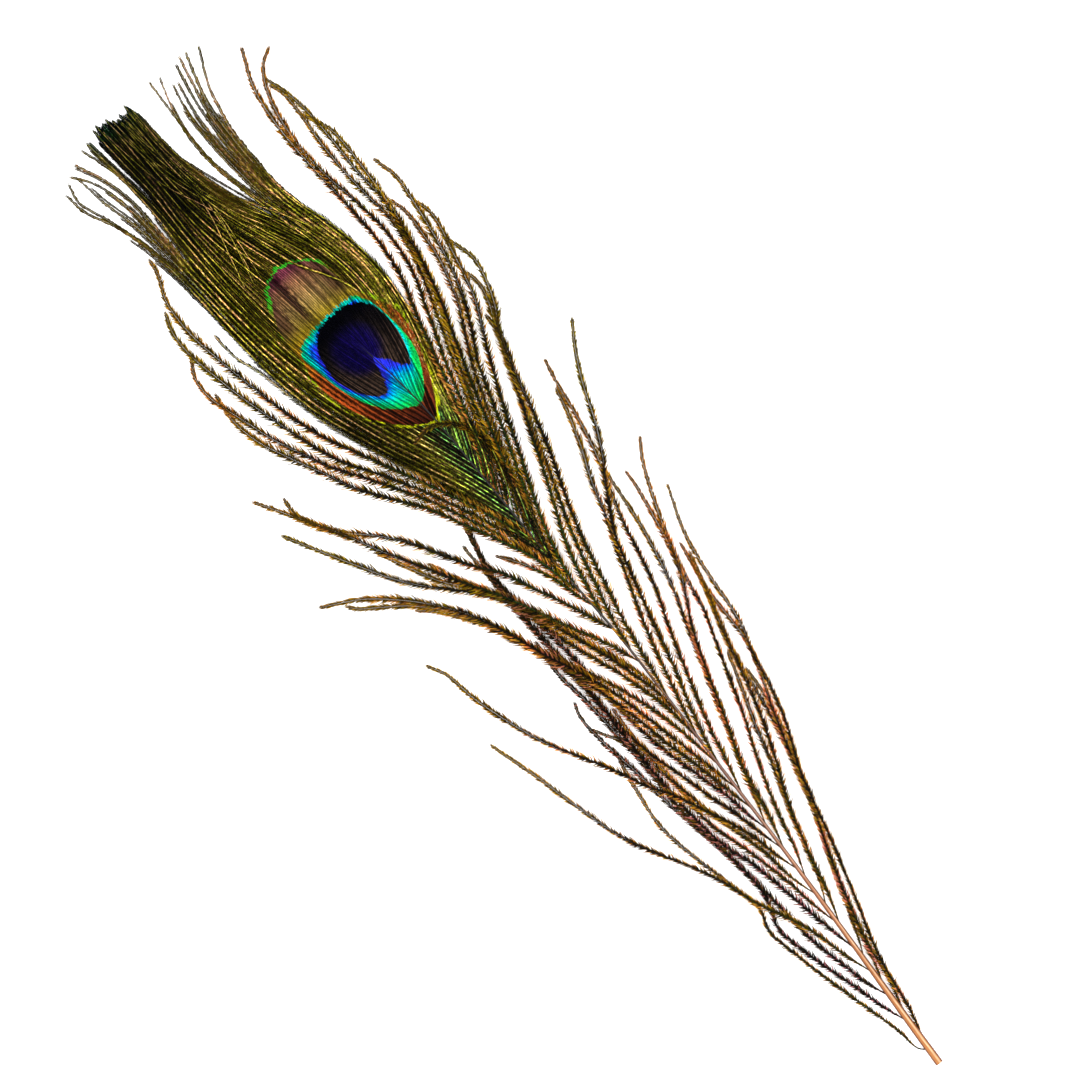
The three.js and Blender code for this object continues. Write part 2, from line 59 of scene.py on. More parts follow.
# Each lock of barbs: the height of its root up the shaft, its width, how far it arches up, and
# then X and Y, in turn, of the places that it passes in plan, the last of them its tip.
LEFT_LOCKS = [
  [4, 1, 2, -1.5, 6.2, -2.1, 12, -4.2, 22, -6.4, 32, -8.1, 41, -9.4, 51, -7.6, 56, -8.6, 64,
    -10.4, 73, -12.2, 86, -10.8, 97, -8.3, 108],
  [12, 1.2, 2.6, -0.9, 18.5, -3, 27.5, -5.1, 36, -6.8, 44.5, -7.4, 50, -5.6, 54.6, -4.2, 60,
    -4.7, 71, -6.2, 82, -7.3, 92, -7.9, 101, -9.1, 112, -9.1, 119.5, -7.9, 122.7],
  [19.5, 1.3, 2.4, -0.2, 26, -1.8, 34.5, -3.1, 41.5, -3.5, 52, -4.2, 64, -4.9, 75, -5.9, 86,
    -5.4, 97, -5.3, 109, -5.5, 121, -6.2, 130, -5.2, 139.7],
  [26.5, 1.3, 3.2, 0.6, 33.5, -1.7, 44, -4.4, 51.5, -7.2, 58, -9.6, 66.5, -13.1, 75, -17.2, 83,
    -21, 92, -24, 104, -26.2, 114.5, -28.2, 122.5, -29.7, 128.5],
  [33, 1.5, 3, 1.6, 43, 0.1, 54, -1.7, 65.5, -3.8, 73.5, -4.8, 84, -4.8, 96, -4.3, 108, -3.4, 121,
    -3.2, 134, -3.2, 146, -2.6, 156, -1.5, 163, 1.2, 172, 2.8, 176.5],
  [41, 1.2, 2, 3, 47, 1.5, 59, -0.8, 70.5, -2.8, 79, -3.1, 87, -2.5, 95, -3, 105, -2, 115.5],
  [49.5, 1.2, 2.2, 3.3, 56, 2.3, 66, 0.6, 74, -1.1, 82, -2.6, 92, -4.3, 102, -5.4, 108,
    -7.2, 111.5, -9, 115],
  [57, 1.4, 3.6, 4.1, 63, 2.9, 70, 0.5, 77.5, -1.9, 83.5, -5, 91, -8.2, 96.5, -11.5, 104.5,
    -15.5, 112.5, -19.5, 120.5, -23, 131, -25.2, 140, -26.3, 148, -28.5, 153],
  [63, 1.3, 2.6, 4.7, 70, 3.2, 78, 1.2, 85.5, -0.4, 93, -2.2, 101, -3.4, 110, -3.5, 121,
    -3.6, 134, -3.4, 146, -3.2, 156, -2.9, 168.5],
  [68.5, 1.5, 2.8, 5.6, 74, 4.6, 82, 2.6, 91, 0.6, 101, -0.4, 110, -0.9, 120, -0.9, 131,
    -1.3, 142, -2.2, 152, -2.6, 159, -0.6, 167, 0.6, 172],
  [75, 1.7, 3.8, 5.9, 82, 4.2, 91.5, 2.2, 101.5, 0.6, 112, -1.8, 122.5, -5.2, 133, -8, 142,
    -11.4, 151, -16, 159.5, -21.5, 166, -27, 170.5, -31.5, 174, -33.5, 176.5],
  [81, 1.7, 4.2, 6.6, 87, 4.9, 97, 3, 107.5, 1, 117.5, -2.2, 127.5, -5.8, 137, -8.8, 146.5,
    -13, 156, -18, 163.5, -23.5, 169.8, -29.5, 175.2, -38.4, 180.5],
  [88, 1.4, 3.4, 7, 99, 5.4, 108, 3, 116.5, 0.4, 123.5, -2.6, 130.5, -6.4, 139.5, -9.8, 148,
    -13.5, 154.5, -18, 161, -21.5, 164.5],
  [95, 1.5, 2.2, 8.1, 106, 6.4, 115, 4, 124, 1.2, 132.5, -0.6, 140, -2.4, 148.5, -4.6, 154.5,
    -8.4, 160.3, -12.8, 166.5, -16, 173.3, -19.5, 181.5],
  [102.5, 1.6, 2.6, 8.6, 112, 6.8, 120.5, 4.5, 129, 1.6, 137.5, -1, 145.5, -4.6, 153, -9.5, 160,
    -15, 166.3, -20, 173, -24.5, 181.2, -29, 190, -33.7, 199.3],
  [111, 1.5, 2, 8.3, 118.5, 5.6, 127.5, 2.2, 136, -0.4, 143.5, -3, 150.5, -6.2, 157.5,
    -9.6, 164.5, -11.8, 170.8],
  [119.5, 1.8, 3.2, 9.2, 123.3, 6.3, 131, 2.6, 138.5, -0.4, 146, -3.6, 153, -7.4, 160,
    -11.3, 167.3, -15, 174.5, -18.6, 181.5, -22, 189, -26.3, 197, -30, 203.8, -33.5, 210],
  [129.5, 1.8, 2.8, 9.3, 134, 6.2, 142.5, 3, 150, -0.4, 158, -4.5, 164, -8.2, 171, -12.3, 178.5,
    -17, 184.6, -22.5, 190.5, -26.2, 196, -27.9, 201, -27.4, 205.7],
  [137, 1.2, 1.2, 9.7, 142, 8.3, 148, 5.2, 155.5, 1.5, 161.5],
  [141, 1.7, 3.6, 9.9, 146, 8.4, 154, 5.2, 162.5, 1.2, 171.5, -3, 180.5, -8.4, 189, -12.8, 196,
    -16, 203.5, -20, 212.5, -22.9, 220, -24, 227, -23.7, 231, -23, 235.3],
  [146, 1.6, 3, 9.7, 152, 7, 160.5, 3.4, 170, -0.4, 179.5, -5, 188.5, -10, 197.3, -14, 204,
    -17, 211, -19.8, 218, -21.8, 225, -23.3, 230.5, -24.5, 236, -24, 241.5, -21.2, 246.3],
  [150, 1.8, 2.6, 9.5, 157, 6.4, 166, 2.6, 176, -1.8, 186, -6.5, 195, -11, 203, -14.2, 212,
    -16.6, 221.5, -18.6, 230, -20.2, 239, -21.2, 246.5, -20.8, 253, -19, 258],
  [155, 1.8, 2.2, 9.2, 163, 5.6, 173, 1.6, 183, -2.6, 192.5, -6.8, 202, -10.6, 211, -13.2, 220.5,
    -15.2, 231, -16.8, 241, -17.8, 250, -17, 259.5, -14.2, 266, -13.4, 270],
]
RIGHT_LOCKS = [
  [5, 1.1, 3, 3.3, 14.5, 6.2, 28.5, 10.9, 42, 16.3, 57.5, 21.5, 74, 28, 88.5, 32.2, 103.5,
    34.9, 112, 36.6, 124, 38.8, 135, 43.6, 147],
  [13, 1.2, 2.4, 4.5, 23.5, 6.3, 33, 10.3, 46, 14.4, 57, 18.9, 67.5, 22.7, 79, 26.8, 90.5,
    30.5, 99, 32.9, 107, 33.5, 114, 34.2, 123, 36.6, 134.5],
  [22, 1.2, 2, 4.3, 28, 6.9, 36, 11.2, 49.5, 16.3, 61.5, 20.6, 73.5, 24.1, 84.5, 26.1, 93,
    27.5, 101, 29.1, 108.5, 31.4, 115.5, 33.6, 122, 36, 130],
  [30.5, 1.2, 1.6, 5.3, 35, 8.8, 43.5, 13.4, 54.5, 18.3, 66, 22, 76, 25.6, 86, 27.6, 94.5,
    28.4, 101.4],
  [40, 1.3, 2.6, 7.1, 48, 10.7, 60, 14.5, 71, 18.8, 80, 23, 89.5, 25.9, 98, 28.4, 106, 31, 114,
    34, 122.5, 36.8, 131.5],
  [46, 1.2, 2, 8, 52.5, 11.1, 62, 14.8, 72.5, 17.8, 80.5, 21, 90, 24, 97.5, 27.8, 107.5],
  [54, 1.2, 3.2, 8.2, 61, 11.7, 72.5, 16.1, 84, 20.6, 94, 24.4, 104, 27.5, 112, 30.3, 119.5,
    31.8, 126, 34, 134, 36.9, 142, 39.8, 148.7, 43, 155.3, 46.3, 160],
  [62.5, 1.3, 2.4, 8.8, 71, 11.4, 81.5, 14.9, 92.5, 18.4, 102, 22.2, 112, 24.5, 118.5, 27.5, 126,
    30.2, 135, 32.2, 143.5, 33.6, 152, 34.8, 160],
  [70, 1.3, 3.4, 9.6, 77.5, 12.5, 86, 16.5, 95.5, 20, 105, 24.5, 116, 28.7, 123.5, 32.5, 130.5,
    34.8, 138, 36.6, 146, 37.8, 152, 38.2, 156],
  [79, 1.3, 2.8, 10.2, 88.5, 12.8, 98, 16.8, 109.5, 21, 121, 24.8, 130, 27.6, 139.5, 29.6, 147,
    32, 154, 34.4, 160, 36.2, 165.5, 38.2, 173.5, 39.8, 182, 41.6, 189],
  [87.5, 1.5, 4.4, 9.9, 96, 12.6, 104.5, 16.2, 115, 19.8, 127, 23.3, 138, 26, 146, 29.5, 152,
    32.9, 157.5, 36.2, 162, 40.5, 169.5, 44.5, 178.5, 48.5, 185.7, 53, 192],
  [96.5, 1.5, 3.2, 11.2, 106, 14.4, 117, 18, 128, 22, 138, 25, 145.5, 27.8, 152, 30.7, 160,
    34.3, 168, 37.3, 176, 39, 182],
  [107.5, 1.6, 4, 11.1, 115, 13.4, 127, 16.3, 138, 18.4, 146, 21, 154.5, 23.9, 162, 27, 169.5,
    30, 178, 33, 187.5, 35.8, 195.5, 38.4, 202.3, 41.3, 206.7, 44.2, 214, 45, 219, 44.2, 223,
    43, 227],
  [122, 1.6, 3, 12.1, 131, 14.8, 140.5, 17, 148, 19.4, 155, 22.3, 162.5, 25.6, 171, 28.8, 179.5,
    32, 188, 34.8, 195, 37.4, 201, 38.2, 206.4],
  [133.5, 1.6, 3.4, 12.8, 141, 15, 149.5, 17.8, 156.5, 20.8, 163, 24, 170, 27.2, 177.5, 30.2, 184,
    33.2, 191, 36.3, 198.5, 39.3, 205, 41.6, 211, 41.9, 215, 41, 218],
  [143, 1.6, 4.2, 12, 149.5, 13.9, 156, 16.4, 163, 19.2, 169.5, 22.3, 176.5, 25.4, 184,
    28.7, 191.3, 32, 198, 35.3, 204.3, 38.4, 210.2, 40.7, 217, 42.3, 223, 44.3, 230.5, 44.6, 234,
    43.9, 237.8],
  [150, 1.6, 3.8, 13.4, 159, 16.6, 167, 19.8, 175, 22.8, 182.5, 25.8, 190.5, 29.2, 199, 33.3, 206,
    36.5, 212.3, 39.1, 219, 41, 226, 42.3, 232.5, 43.4, 239, 44.2, 245.5, 43, 252.2],
  [155, 1.5, 3, 13.8, 163, 16.8, 171, 19.5, 178.5, 22, 185.5, 24.6, 192, 27.6, 199, 31.3, 206,
    34.8, 212.3, 37.2, 218.5, 38.9, 224.5, 39.8, 231, 40.3, 238, 39.4, 242.3],
  [160, 1.5, 4.4, 15, 168.5, 18, 177, 21.5, 187, 25, 197, 29, 207.5, 32.3, 216, 34.8, 224,
    36.8, 232.5, 38.2, 239, 39, 245.5, 39.6, 252, 40.1, 259, 39.9, 264.5, 37.2, 271.8],
  [164, 1.4, 3.8, 15.3, 172, 18.9, 183, 22.5, 194, 26.5, 204, 30.5, 213, 33.8, 221.5, 35.8, 230,
    37.3, 238, 38.2, 244.5, 38, 252, 38.4, 260, 38.7, 268, 38.2, 276, 36.5, 283.8],
  [168, 1.4, 3.2, 15.7, 176.5, 19.5, 188.5, 23.7, 200, 28.3, 211, 32.2, 221, 35.1, 230.5,
    36.4, 238.5, 35.9, 247, 35.7, 256, 36.1, 264, 37, 272, 37.2, 278, 36.2, 282],
  [172, 1.4, 4.6, 15.9, 181, 19.3, 192.5, 23.7, 205, 28.6, 217, 32.3, 227, 33.6, 238, 33, 247,
    31.8, 256.5, 31.6, 266, 32.8, 275, 35.3, 282.5, 38.2, 286.7, 42, 289],
  [176, 1.5, 4, 15.9, 184.5, 18.8, 195, 22.5, 207, 26.2, 218.5, 29.4, 228, 30.8, 239, 30.8, 251,
    30.6, 263, 31.1, 274.5, 32.9, 284.3, 37, 293.2],
]
# Single locks that lie across the others.
ACROSS_LOCKS = [
  [150, 1.3, 1.3, 13.6, 163, 16.4, 174, 17.9, 182.5, 17, 188.5, 14.3, 192.7, 10, 195.2, 5, 194.6],
  [196, 0.8, 0.5, 16.5, 212, 19.6, 222, 19.4, 229, 18.2, 234, 16.2, 238.5, 14, 242.4, 12, 246.4,
    10.2, 252, 7.5, 262],
]
LEFT_VANE_LOCKS = [
  [158, 1.5, 0.3, 8.8, 167, 4.9, 177, 0.8, 188, -3.4, 199, -7.2, 210, -9.6, 221, -11.3, 231,
    -13.5, 239, -13.8, 246],
  [161, 1.5, 0.3, 8.5, 171, 4.5, 182, 0.2, 193, -3.8, 204, -7.4, 215, -9.4, 226, -10.4, 238,
    -10.6, 250, -10.8, 262, -11.9, 272.5, -14, 281, -17.2, 288.5, -18, 294.5],
  [164, 1.4, 0.3, 8.2, 175, 4.2, 186, -0.2, 197, -4, 208, -7, 219, -8.6, 230, -9.5, 242,
    -9.8, 254, -10.6, 266, -12.3, 275.5, -14.4, 283.5, -16.8, 291.5, -15.8, 296.2],
  [167, 1.3, 0.3, 8.1, 178.5, 4.1, 189.5, -0.2, 200.5, -3.6, 211.5, -6.2, 222.5, -7.8, 234,
    -8.7, 246, -9.1, 258, -9.6, 269, -10.6, 279, -12.3, 287, -13.2, 296],
  [170, 1.4, 0.3, 8.2, 181, 4.2, 192, 0.2, 203, -3, 214, -5.4, 225, -7, 237, -7.8, 249, -8.2, 261,
    -8.2, 273, -9, 284, -11, 292, -14.2, 297.2],
  [173, 1.4, 0.3, 8.4, 183.5, 4.5, 194, 0.8, 205, -2.2, 216, -4.5, 227, -6.1, 239, -6.9, 251,
    -7.2, 263, -7, 275, -7.2, 284, -8.9, 292, -11.6, 298.6],
  [176, 1.4, 0.3, 8.6, 186, 4.9, 196.5, 1.2, 207, -1.6, 218, -3.7, 229, -5, 241, -5.7, 253,
    -5.8, 265, -5.1, 277, -5.4, 289, -6.8, 296, -8, 300],
]
RIGHT_VANE_LOCKS = [
  [180, 1.5, 0.3, 16.3, 189.5, 19.5, 200, 23, 211, 25.7, 222, 26.7, 232, 26.1, 241, 24.6, 249.5,
    22.5, 257, 21.6, 264, 21.7, 272, 22.1, 280, 23.3, 285.5, 25.2, 291.8, 29.5, 300.2],
  [182, 1.5, 0.3, 15.6, 190, 18.7, 201, 22.2, 212, 24.9, 222, 25.9, 232, 25.2, 241, 23.7, 249.5,
    21.8, 258, 20.9, 268, 21, 278, 22, 288, 24.2, 295.5, 26.2, 301.2],
  [184, 1.5, 0.3, 15.5, 192, 18.3, 202.5, 21.5, 213, 24.1, 223, 25.1, 232, 24.4, 241, 22.7, 250,
    20.8, 259, 20, 268, 20, 278, 20.9, 288, 22.7, 295, 24.3, 301.3],
  [186, 1.5, 0.3, 15.6, 194.5, 18.4, 204.5, 21.3, 214.5, 23.5, 224, 24.4, 233, 23.5, 242,
    21.6, 251, 19.9, 259.5, 19, 268.5, 19, 278.5, 20.1, 290, 22.5, 300.4],
  [188, 1.4, 0.3, 15.4, 196, 18, 205.5, 20.9, 215.5, 22.8, 225, 23.6, 234, 22.5, 243, 20.6, 251.5,
    18.9, 260, 17.9, 269, 17.5, 279, 18.3, 289, 20, 296.8],
  [190, 1.3, 0.3, 15.3, 197.5, 17.8, 206.5, 20.6, 216, 22.3, 226, 22.9, 235, 21.6, 244,
    19.4, 252.5, 17.8, 261, 16.9, 270, 16.6, 280, 17, 290, 18.8, 297.3],
  [192, 1.3, 0.3, 15.2, 199, 17.7, 207.5, 20.3, 217, 21.8, 227, 22.1, 236, 20.6, 245, 18.6, 254,
    16.3, 262.5, 14.3, 271, 13.5, 280, 14, 290, 14.9, 301.5],
  [193, 1.1, 0.3, 15.4, 200.5, 18, 210, 20.2, 220, 20.9, 230, 20.3, 239, 18.6, 248.5, 16.6, 257.5,
    14.8, 266.5, 13.4, 275, 13.2, 284, 14.6, 292, 17.5, 300.7],
]
# Locks that cross the eye and end in the square tuft.
LEFT_EYE_LOCKS = [
  [179, 1.4, 0.3, 8.8, 188.5, 5.4, 198.5, 1.8, 209, -0.9, 220, -3, 231, -4.1, 243, -4.5, 255,
    -4.3, 267, -4.1, 279, -5.2, 291, -6, 300.7],
  [182, 1.4, 0.3, 9.1, 191, 5.8, 201, 2.6, 211, 0, 222, -1.9, 233, -2.9, 245, -3.2, 257, -3, 269,
    -2.3, 281, -2.6, 292, -2.8, 302],
  [186, 1.4, 0.3, 10.2, 193, 6.8, 203, 3.6, 213, 1.2, 223, -0.6, 234, -1.6, 246, -2, 258,
    -1.9, 270, -1.2, 281, -1.6, 302.5],
  [192, 1.4, 0.3, 11.2, 198, 8.4, 206, 5.6, 215, 3.3, 224, 1.4, 234, 0.3, 246, -0.6, 258,
    -0.8, 270, -0.3, 281, 0, 301.8],
  [198, 1.4, 0.3, 12, 203, 10.2, 209, 7.9, 217, 5.7, 226, 4.9, 236, 3.6, 247, 1.6, 259, 0.5, 270,
    0.6, 281, 1.2, 302],
  [205, 1.4, 0.3, 12.1, 208.5, 11, 213, 9.4, 220, 7.8, 228, 7.2, 237, 6.2, 247, 3.7, 259,
    2.2, 270, 1.8, 281, 2.3, 300.6],
  [212, 1.4, 0.3, 11.6, 216, 11.2, 220, 10.4, 227, 10, 236, 9, 247, 5.9, 258.5, 3.9, 269,
    2.9, 281, 3.5, 300],
  [217, 1.4, 0.3, 11.9, 221, 12.2, 228, 12.1, 236, 11.4, 246, 8.2, 257.5, 5.6, 268, 4.2, 280,
    4.4, 300.7],
]
RIGHT_EYE_LOCKS = [
  [193, 1.1, 0.3, 15.4, 200.5, 18, 210, 20.2, 220, 20.9, 230, 20.3, 239, 18.6, 248.5, 15.4, 258.5,
    11.6, 269, 8.8, 281, 8, 290, 7.6, 298.5],
  [198, 1.4, 0.3, 13.3, 202.5, 15.6, 208.5, 17.7, 216, 19.2, 224, 19.8, 232, 19.4, 240,
    17.4, 248.5, 13.6, 258.5, 10, 269, 7.6, 281, 7.4, 299.5],
  [205, 1.4, 0.3, 13, 209, 14.8, 215, 16.4, 222, 17.4, 230, 17.3, 238, 15.6, 246.5, 12, 256.5,
    8.6, 267, 6.6, 280, 6.7, 301.5],
  [212, 1.4, 0.3, 12.5, 216, 13.6, 221, 14.6, 228, 14.9, 236, 13.9, 245.5, 10.6, 256.5, 7.4, 267,
    5.5, 280, 5.6, 299.7],
  [217, 1.4, 0.3, 11.9, 221, 12.2, 228, 12.1, 236, 11.4, 246, 8.2, 257.5, 5.6, 268, 4.2, 280,
    4.4, 300.7],
]

# Thin barbs that slant across the tuft, over the others.
LEFT_SLANTED_LOCKS = [
  [204, 0.8, 0.3, 4.5, 211, 0.5, 221, -2.2, 233, -1.4, 246, 1.8, 258, 4.6, 267.5, 6, 277,
    5.6, 288, 4.8, 298],
  [206, 0.8, 0.3, 5.5, 212, 1.5, 222, -0.8, 233, 0.6, 245, 3.6, 256, 5.9, 265.5, 7, 274, 7.2, 284,
    6.6, 296],
  [207, 0.7, 0.3, 5.9, 213, 2.3, 223, 0.4, 234, 1.6, 246, 4, 256.5, 5.6, 266, 6.4, 275, 4.9, 287,
    4.1, 297],
  [208, 0.8, 0.3, 6.2, 214, 3.2, 224, 1.6, 235, 3.4, 246, 5.2, 257, 6.4, 266, 6.6, 275.5, 5, 287,
    3.6, 299],
]
RIGHT_SLANTED_LOCKS = [
  [203, 0.8, 0.3, 12.6, 211, 18.4, 222, 22.2, 233, 22.4, 245.4, 19.2, 254, 15, 262, 11, 270,
    8, 280, 7, 290, 7, 299],
  [204, 0.8, 0.3, 12, 212, 17.2, 222, 21, 233, 20.8, 245, 17, 254.5, 12.8, 262.5, 9.4, 270.5,
    7.2, 280, 6.4, 290, 6.4, 300],
  [205, 0.7, 0.3, 11.4, 212.5, 16.3, 222, 19.8, 233, 19.6, 244.6, 15.6, 254.6, 11.4, 263.1,
    8, 271.4, 5.7, 281, 4.8, 291, 4.6, 299.5],
  [206, 0.8, 0.3, 11, 213, 15.5, 222, 18.8, 233, 18.4, 244, 14.4, 254.5, 10.2, 263.5, 7.2, 272,
    5, 282, 3.9, 292, 3.2, 300],
  [207, 0.7, 0.3, 10.6, 213.5, 14.8, 222.5, 17.7, 233, 17.2, 244.6, 13.2, 254.8, 9.4, 263.4,
    6.8, 271.5, 4.2, 281.5, 2.6, 291.5, 2.2, 300.5],
  [208, 0.8, 0.3, 10.4, 214, 14, 223, 16.4, 234, 15.6, 245, 11.9, 255, 8.6, 263, 6.2, 271,
    3.4, 281, 1.9, 291, 1.2, 300],
  [209, 0.7, 0.3, 10, 214.5, 12.6, 224, 14, 234, 12.9, 245.5, 10, 254.5, 7.6, 262, 5.2, 270.5,
    1.2, 281, -0.4, 291, -1.2, 300],
]
# Outlines of the eye's coloured zones: the bronze leaf, the green and turquoise zone in it, and
# the dark heart with its two lobes. Each runs clockwise from its lowest place.
BRONZE_OUTLINE = [
  [12.4, 195.8], [10, 196.6], [7.2, 198.4], [4.4, 201.2], [2, 204.4], [0, 208], [-1.6, 212],
  [-2.6, 216], [-3.2, 220], [-3, 223.2], [-2.4, 225.6], [-2, 228], [-2.1, 231.2], [-2, 233.6],
  [-1.2, 237.2], [0, 240], [1.7, 242.6], [3.4, 245.6], [5.6, 247.2], [8, 247.5], [10.4, 247],
  [12.6, 245.9], [14.8, 244.6], [16.4, 242.6], [17.2, 239.6], [17.8, 236], [18.5, 233.2],
  [19.6, 229.6], [20.6, 227.2], [22, 224.8], [23, 222.4], [23.1, 218.8], [22.6, 215.2],
  [21.6, 211.6], [20, 207.6], [18, 203.6], [15.8, 199.6], [14.1, 197.2],
]
TEAL_OUTLINE = [
  [12.5, 200.8], [10, 202], [7.6, 203.4], [5.2, 205.6], [3.2, 208.4], [1.6, 211.6], [0.4, 215.2],
  [-0.2, 218], [-0.6, 220.4], [-1, 223.2], [-1.5, 226], [-1.5, 228], [-0.8, 229.3], [0.8, 230.5],
  [4.4, 231.2], [8, 231.5], [11.2, 231.6], [14.8, 231.5], [17.4, 231], [18.6, 229.6],
  [19.6, 227.2], [20.3, 224.4], [20.6, 220.8], [20.8, 217.2], [20.6, 214], [19.8, 210.4],
  [18, 206.8], [15.8, 203.6], [14, 201.8],
]
HEART_OUTLINE = [
  [8, 208.2], [6.4, 208.7], [4.4, 210.4], [2.4, 213.6], [0.8, 218], [0.7, 220.4], [1.3, 223.2],
  [1.6, 225.4], [2.6, 227.4], [3.9, 228.9], [5.6, 230.2], [8.5, 230.8], [12, 230.9],
  [14.6, 230.5], [16.4, 229.6], [18, 228.4], [19.4, 226.4], [20, 224], [20.2, 221.6],
  [20.1, 218.8], [19.6, 216], [18.6, 212.8], [17.4, 210.4], [16.7, 209.5], [15.8, 210.4],
  [14.6, 211.8], [13.6, 214], [12.2, 215.4], [11.2, 216.9], [10.6, 214.8], [10.2, 212.8],
  [9.4, 210.2],
]

# ---- Lines in plan --------------------------------------------------------------------------

GUIDE_POINTS = 240  # places kept on each lock's middle line
CURVE_POINTS = 12  # places worked out between two given ones


def paint(red, green, blue):
    """A colour given as it looks on a screen, 0 to 255, made linear."""
    values = np.array([red, green, blue]) / 255
    return (*np.where(values > 0.04045, ((values + 0.055) / 1.055) ** 2.4, values / 12.92), 1.0)


def grey(value):
    return (value, value, value, 1.0)


def soft_step(value, low, high):
    """0 below low, 1 above high, and smooth between them."""
    t = np.clip((value - low) / (high - low), 0, 1)
    return t * t * (3 - 2 * t)


def curve_through(places, closed=False):
    """A smooth line of many points through the places."""
    p = np.array(places, float)
    if closed:
        p = np.vstack([p[-1], p, p[0], p[1]])
    else:
        p = np.vstack([2 * p[0] - p[1], p, 2 * p[-1] - p[-2]])
    t = np.linspace(0, 1, CURVE_POINTS, endpoint=False)[:, None]
    parts = []
    for a, b, c, d in zip(p[:-3], p[1:-2], p[2:-1], p[3:]):
        before, here, after = (np.sqrt(np.linalg.norm(v - u)) for u, v in ((a, b), (b, c), (c, d)))
        leave = ((b - a) / before - (c - a) / (before + here) + (c - b) / here) * here
        arrive = ((c - b) / here - (d - b) / (here + after) + (d - c) / after) * here
        parts.append(b + t * leave + t**2 * (3 * (c - b) - 2 * leave - arrive)
                     + t**3 * (2 * (b - c) + leave + arrive))
    if not closed:
        parts.append(p[-2][None])
    return np.vstack(parts)


def evenly(line, count):
    """count points at even distances along a line, and its length."""
    reach = np.concatenate([[0], np.cumsum(np.linalg.norm(np.diff(line, axis=0), axis=1))])
    at = np.linspace(0, reach[-1], count)
    return np.stack([np.interp(at, reach, column) for column in line.T], axis=1), reach[-1]


shaft_curve = curve_through(SHAFT_LINE)


def shaft_x(height):
    return np.interp(height, shaft_curve[:, 1], shaft_curve[:, 0])


def shaft_width(height):
    return np.interp(height, *np.transpose(SHAFT_WIDTHS))


def shaft_lift(height):
    return SHAFT_LIFT * soft_step(height, 0, SHAFT_LIFT_END)


# ---- Locks and the single barbs in them -----------------------------------------------------

Guide = namedtuple("Guide", "root width rise tip line hold tone")
Barb = namedtuple("Barb", "root width line height tone depth jitter")

LOCK_HEIGHT = 0.55  # of its width
RISE_KEPT = 0.93  # of a lock's arch, so that its barbules stay under its top
STEM_SHARE = 0.45  # of a lock's height, at which its middle barb lies
ROOT_SINK = 0.25  # how far a root lies below the middle of the shaft
LOOSE, CLOSE, TUFT, ACROSS = "loose", "close", "tuft", "across"
TIP_HEIGHTS = {LOOSE: 0.0, CLOSE: 0.65, TUFT: 0.65, ACROSS: 1.5}
# How strongly an extra barb closes up to its guide, between which shares of its length, and the
# shortest and longest share of it that is kept.
CLOSING = {LOOSE: (0.75, 0.1, 0.5, 0.08, 0.2), CLOSE: (0.8, 0.5, 0.9, 0.76, 1.0),
           TUFT: (0.5, 0.62, 0.97, 0.965, 1.0)}
OWN_ARCH = 0.7  # how far an extra barb takes over the arch of its guide
EYE_BARB_GAP = 0.6  # widest gap between two barbs of the eye
VANE_BARB_GAP = 1.0  # and of the close vane beside it
LOOSE_ROOT_GAP = 2.2  # distance between two roots among the loose locks
FIRST_DENSE_ROOT = 149  # from here up the shaft, more barbs spring between the loose locks
BARE_BELOW, CLOTHED_ABOVE = 95, 140  # where on the shaft barbs stop having a bare foot
DARK_ROOTS = (12, 19.5, 33, 63, 68.5)  # locks of the dark crossing bundle on the left
STRAY_SHARE = 0.16  # of the barbs between guides stray over their neighbours
CLOSE_UP_TO = 256  # how far up the feather the close barbs leave no gap
OPENING = (243, 262)  # where, past the eye, the close barbs open into the tuft

t_line = np.linspace(0, 1, GUIDE_POINTS)[:, None]


def guides_of(locks, hold, random):
    guides = []
    for root, width, rise, *places in sorted(locks):
        places = np.vstack([[shaft_x(root), root], np.reshape(places, (-1, 2))])
        line, _ = evenly(curve_through(places), GUIDE_POINTS)
        dark = places[1, 0] < places[0, 0] and root in DARK_ROOTS
        tone = 0.14 * random.random() if dark else 0.16 + 0.84 * random.random()
        guides.append(Guide(root, width, rise, TIP_HEIGHTS[hold], line, hold, tone))
    return guides


def height_of(guide, rise, root):
    """How high a barb lies, from its root in the shaft to its tip."""
    t = t_line[:, 0]
    base = shaft_lift(root) + shaft_width(root) / 2 - ROOT_SINK
    taper = (0.4 + 0.6 * soft_step(t, 0, 0.16)) * (1 - 0.65 * soft_step(t, 0.8, 1))
    return (base + (guide.tip - base) * t + RISE_KEPT * rise * np.sin(np.pi * t)
            + LOCK_HEIGHT * guide.width * taper * STEM_SHARE)


def extra_count(low, high):
    """How many barbs spring from the shaft between two guides."""
    if LOOSE in (low.hold, high.hold):
        if low.root < FIRST_DENSE_ROOT:
            return 0
        return int((high.root - low.root) / LOOSE_ROOT_GAP)
    near = low.line[low.line[:, 1] < CLOSE_UP_TO][::6]
    gap = np.linalg.norm(near[:, None] - high.line, axis=2).min(axis=1).max()
    return max(int(np.ceil(gap / (EYE_BARB_GAP if low.hold == TUFT else VANE_BARB_GAP))) - 1, 0)


def directions(line):
    """At each place of a line in plan, the direction along it and the one to its left."""
    along = np.gradient(line, axis=0)
    along /= np.linalg.norm(along, axis=1)[:, None]
    return along, np.column_stack([-along[:, 1], along[:, 0]])


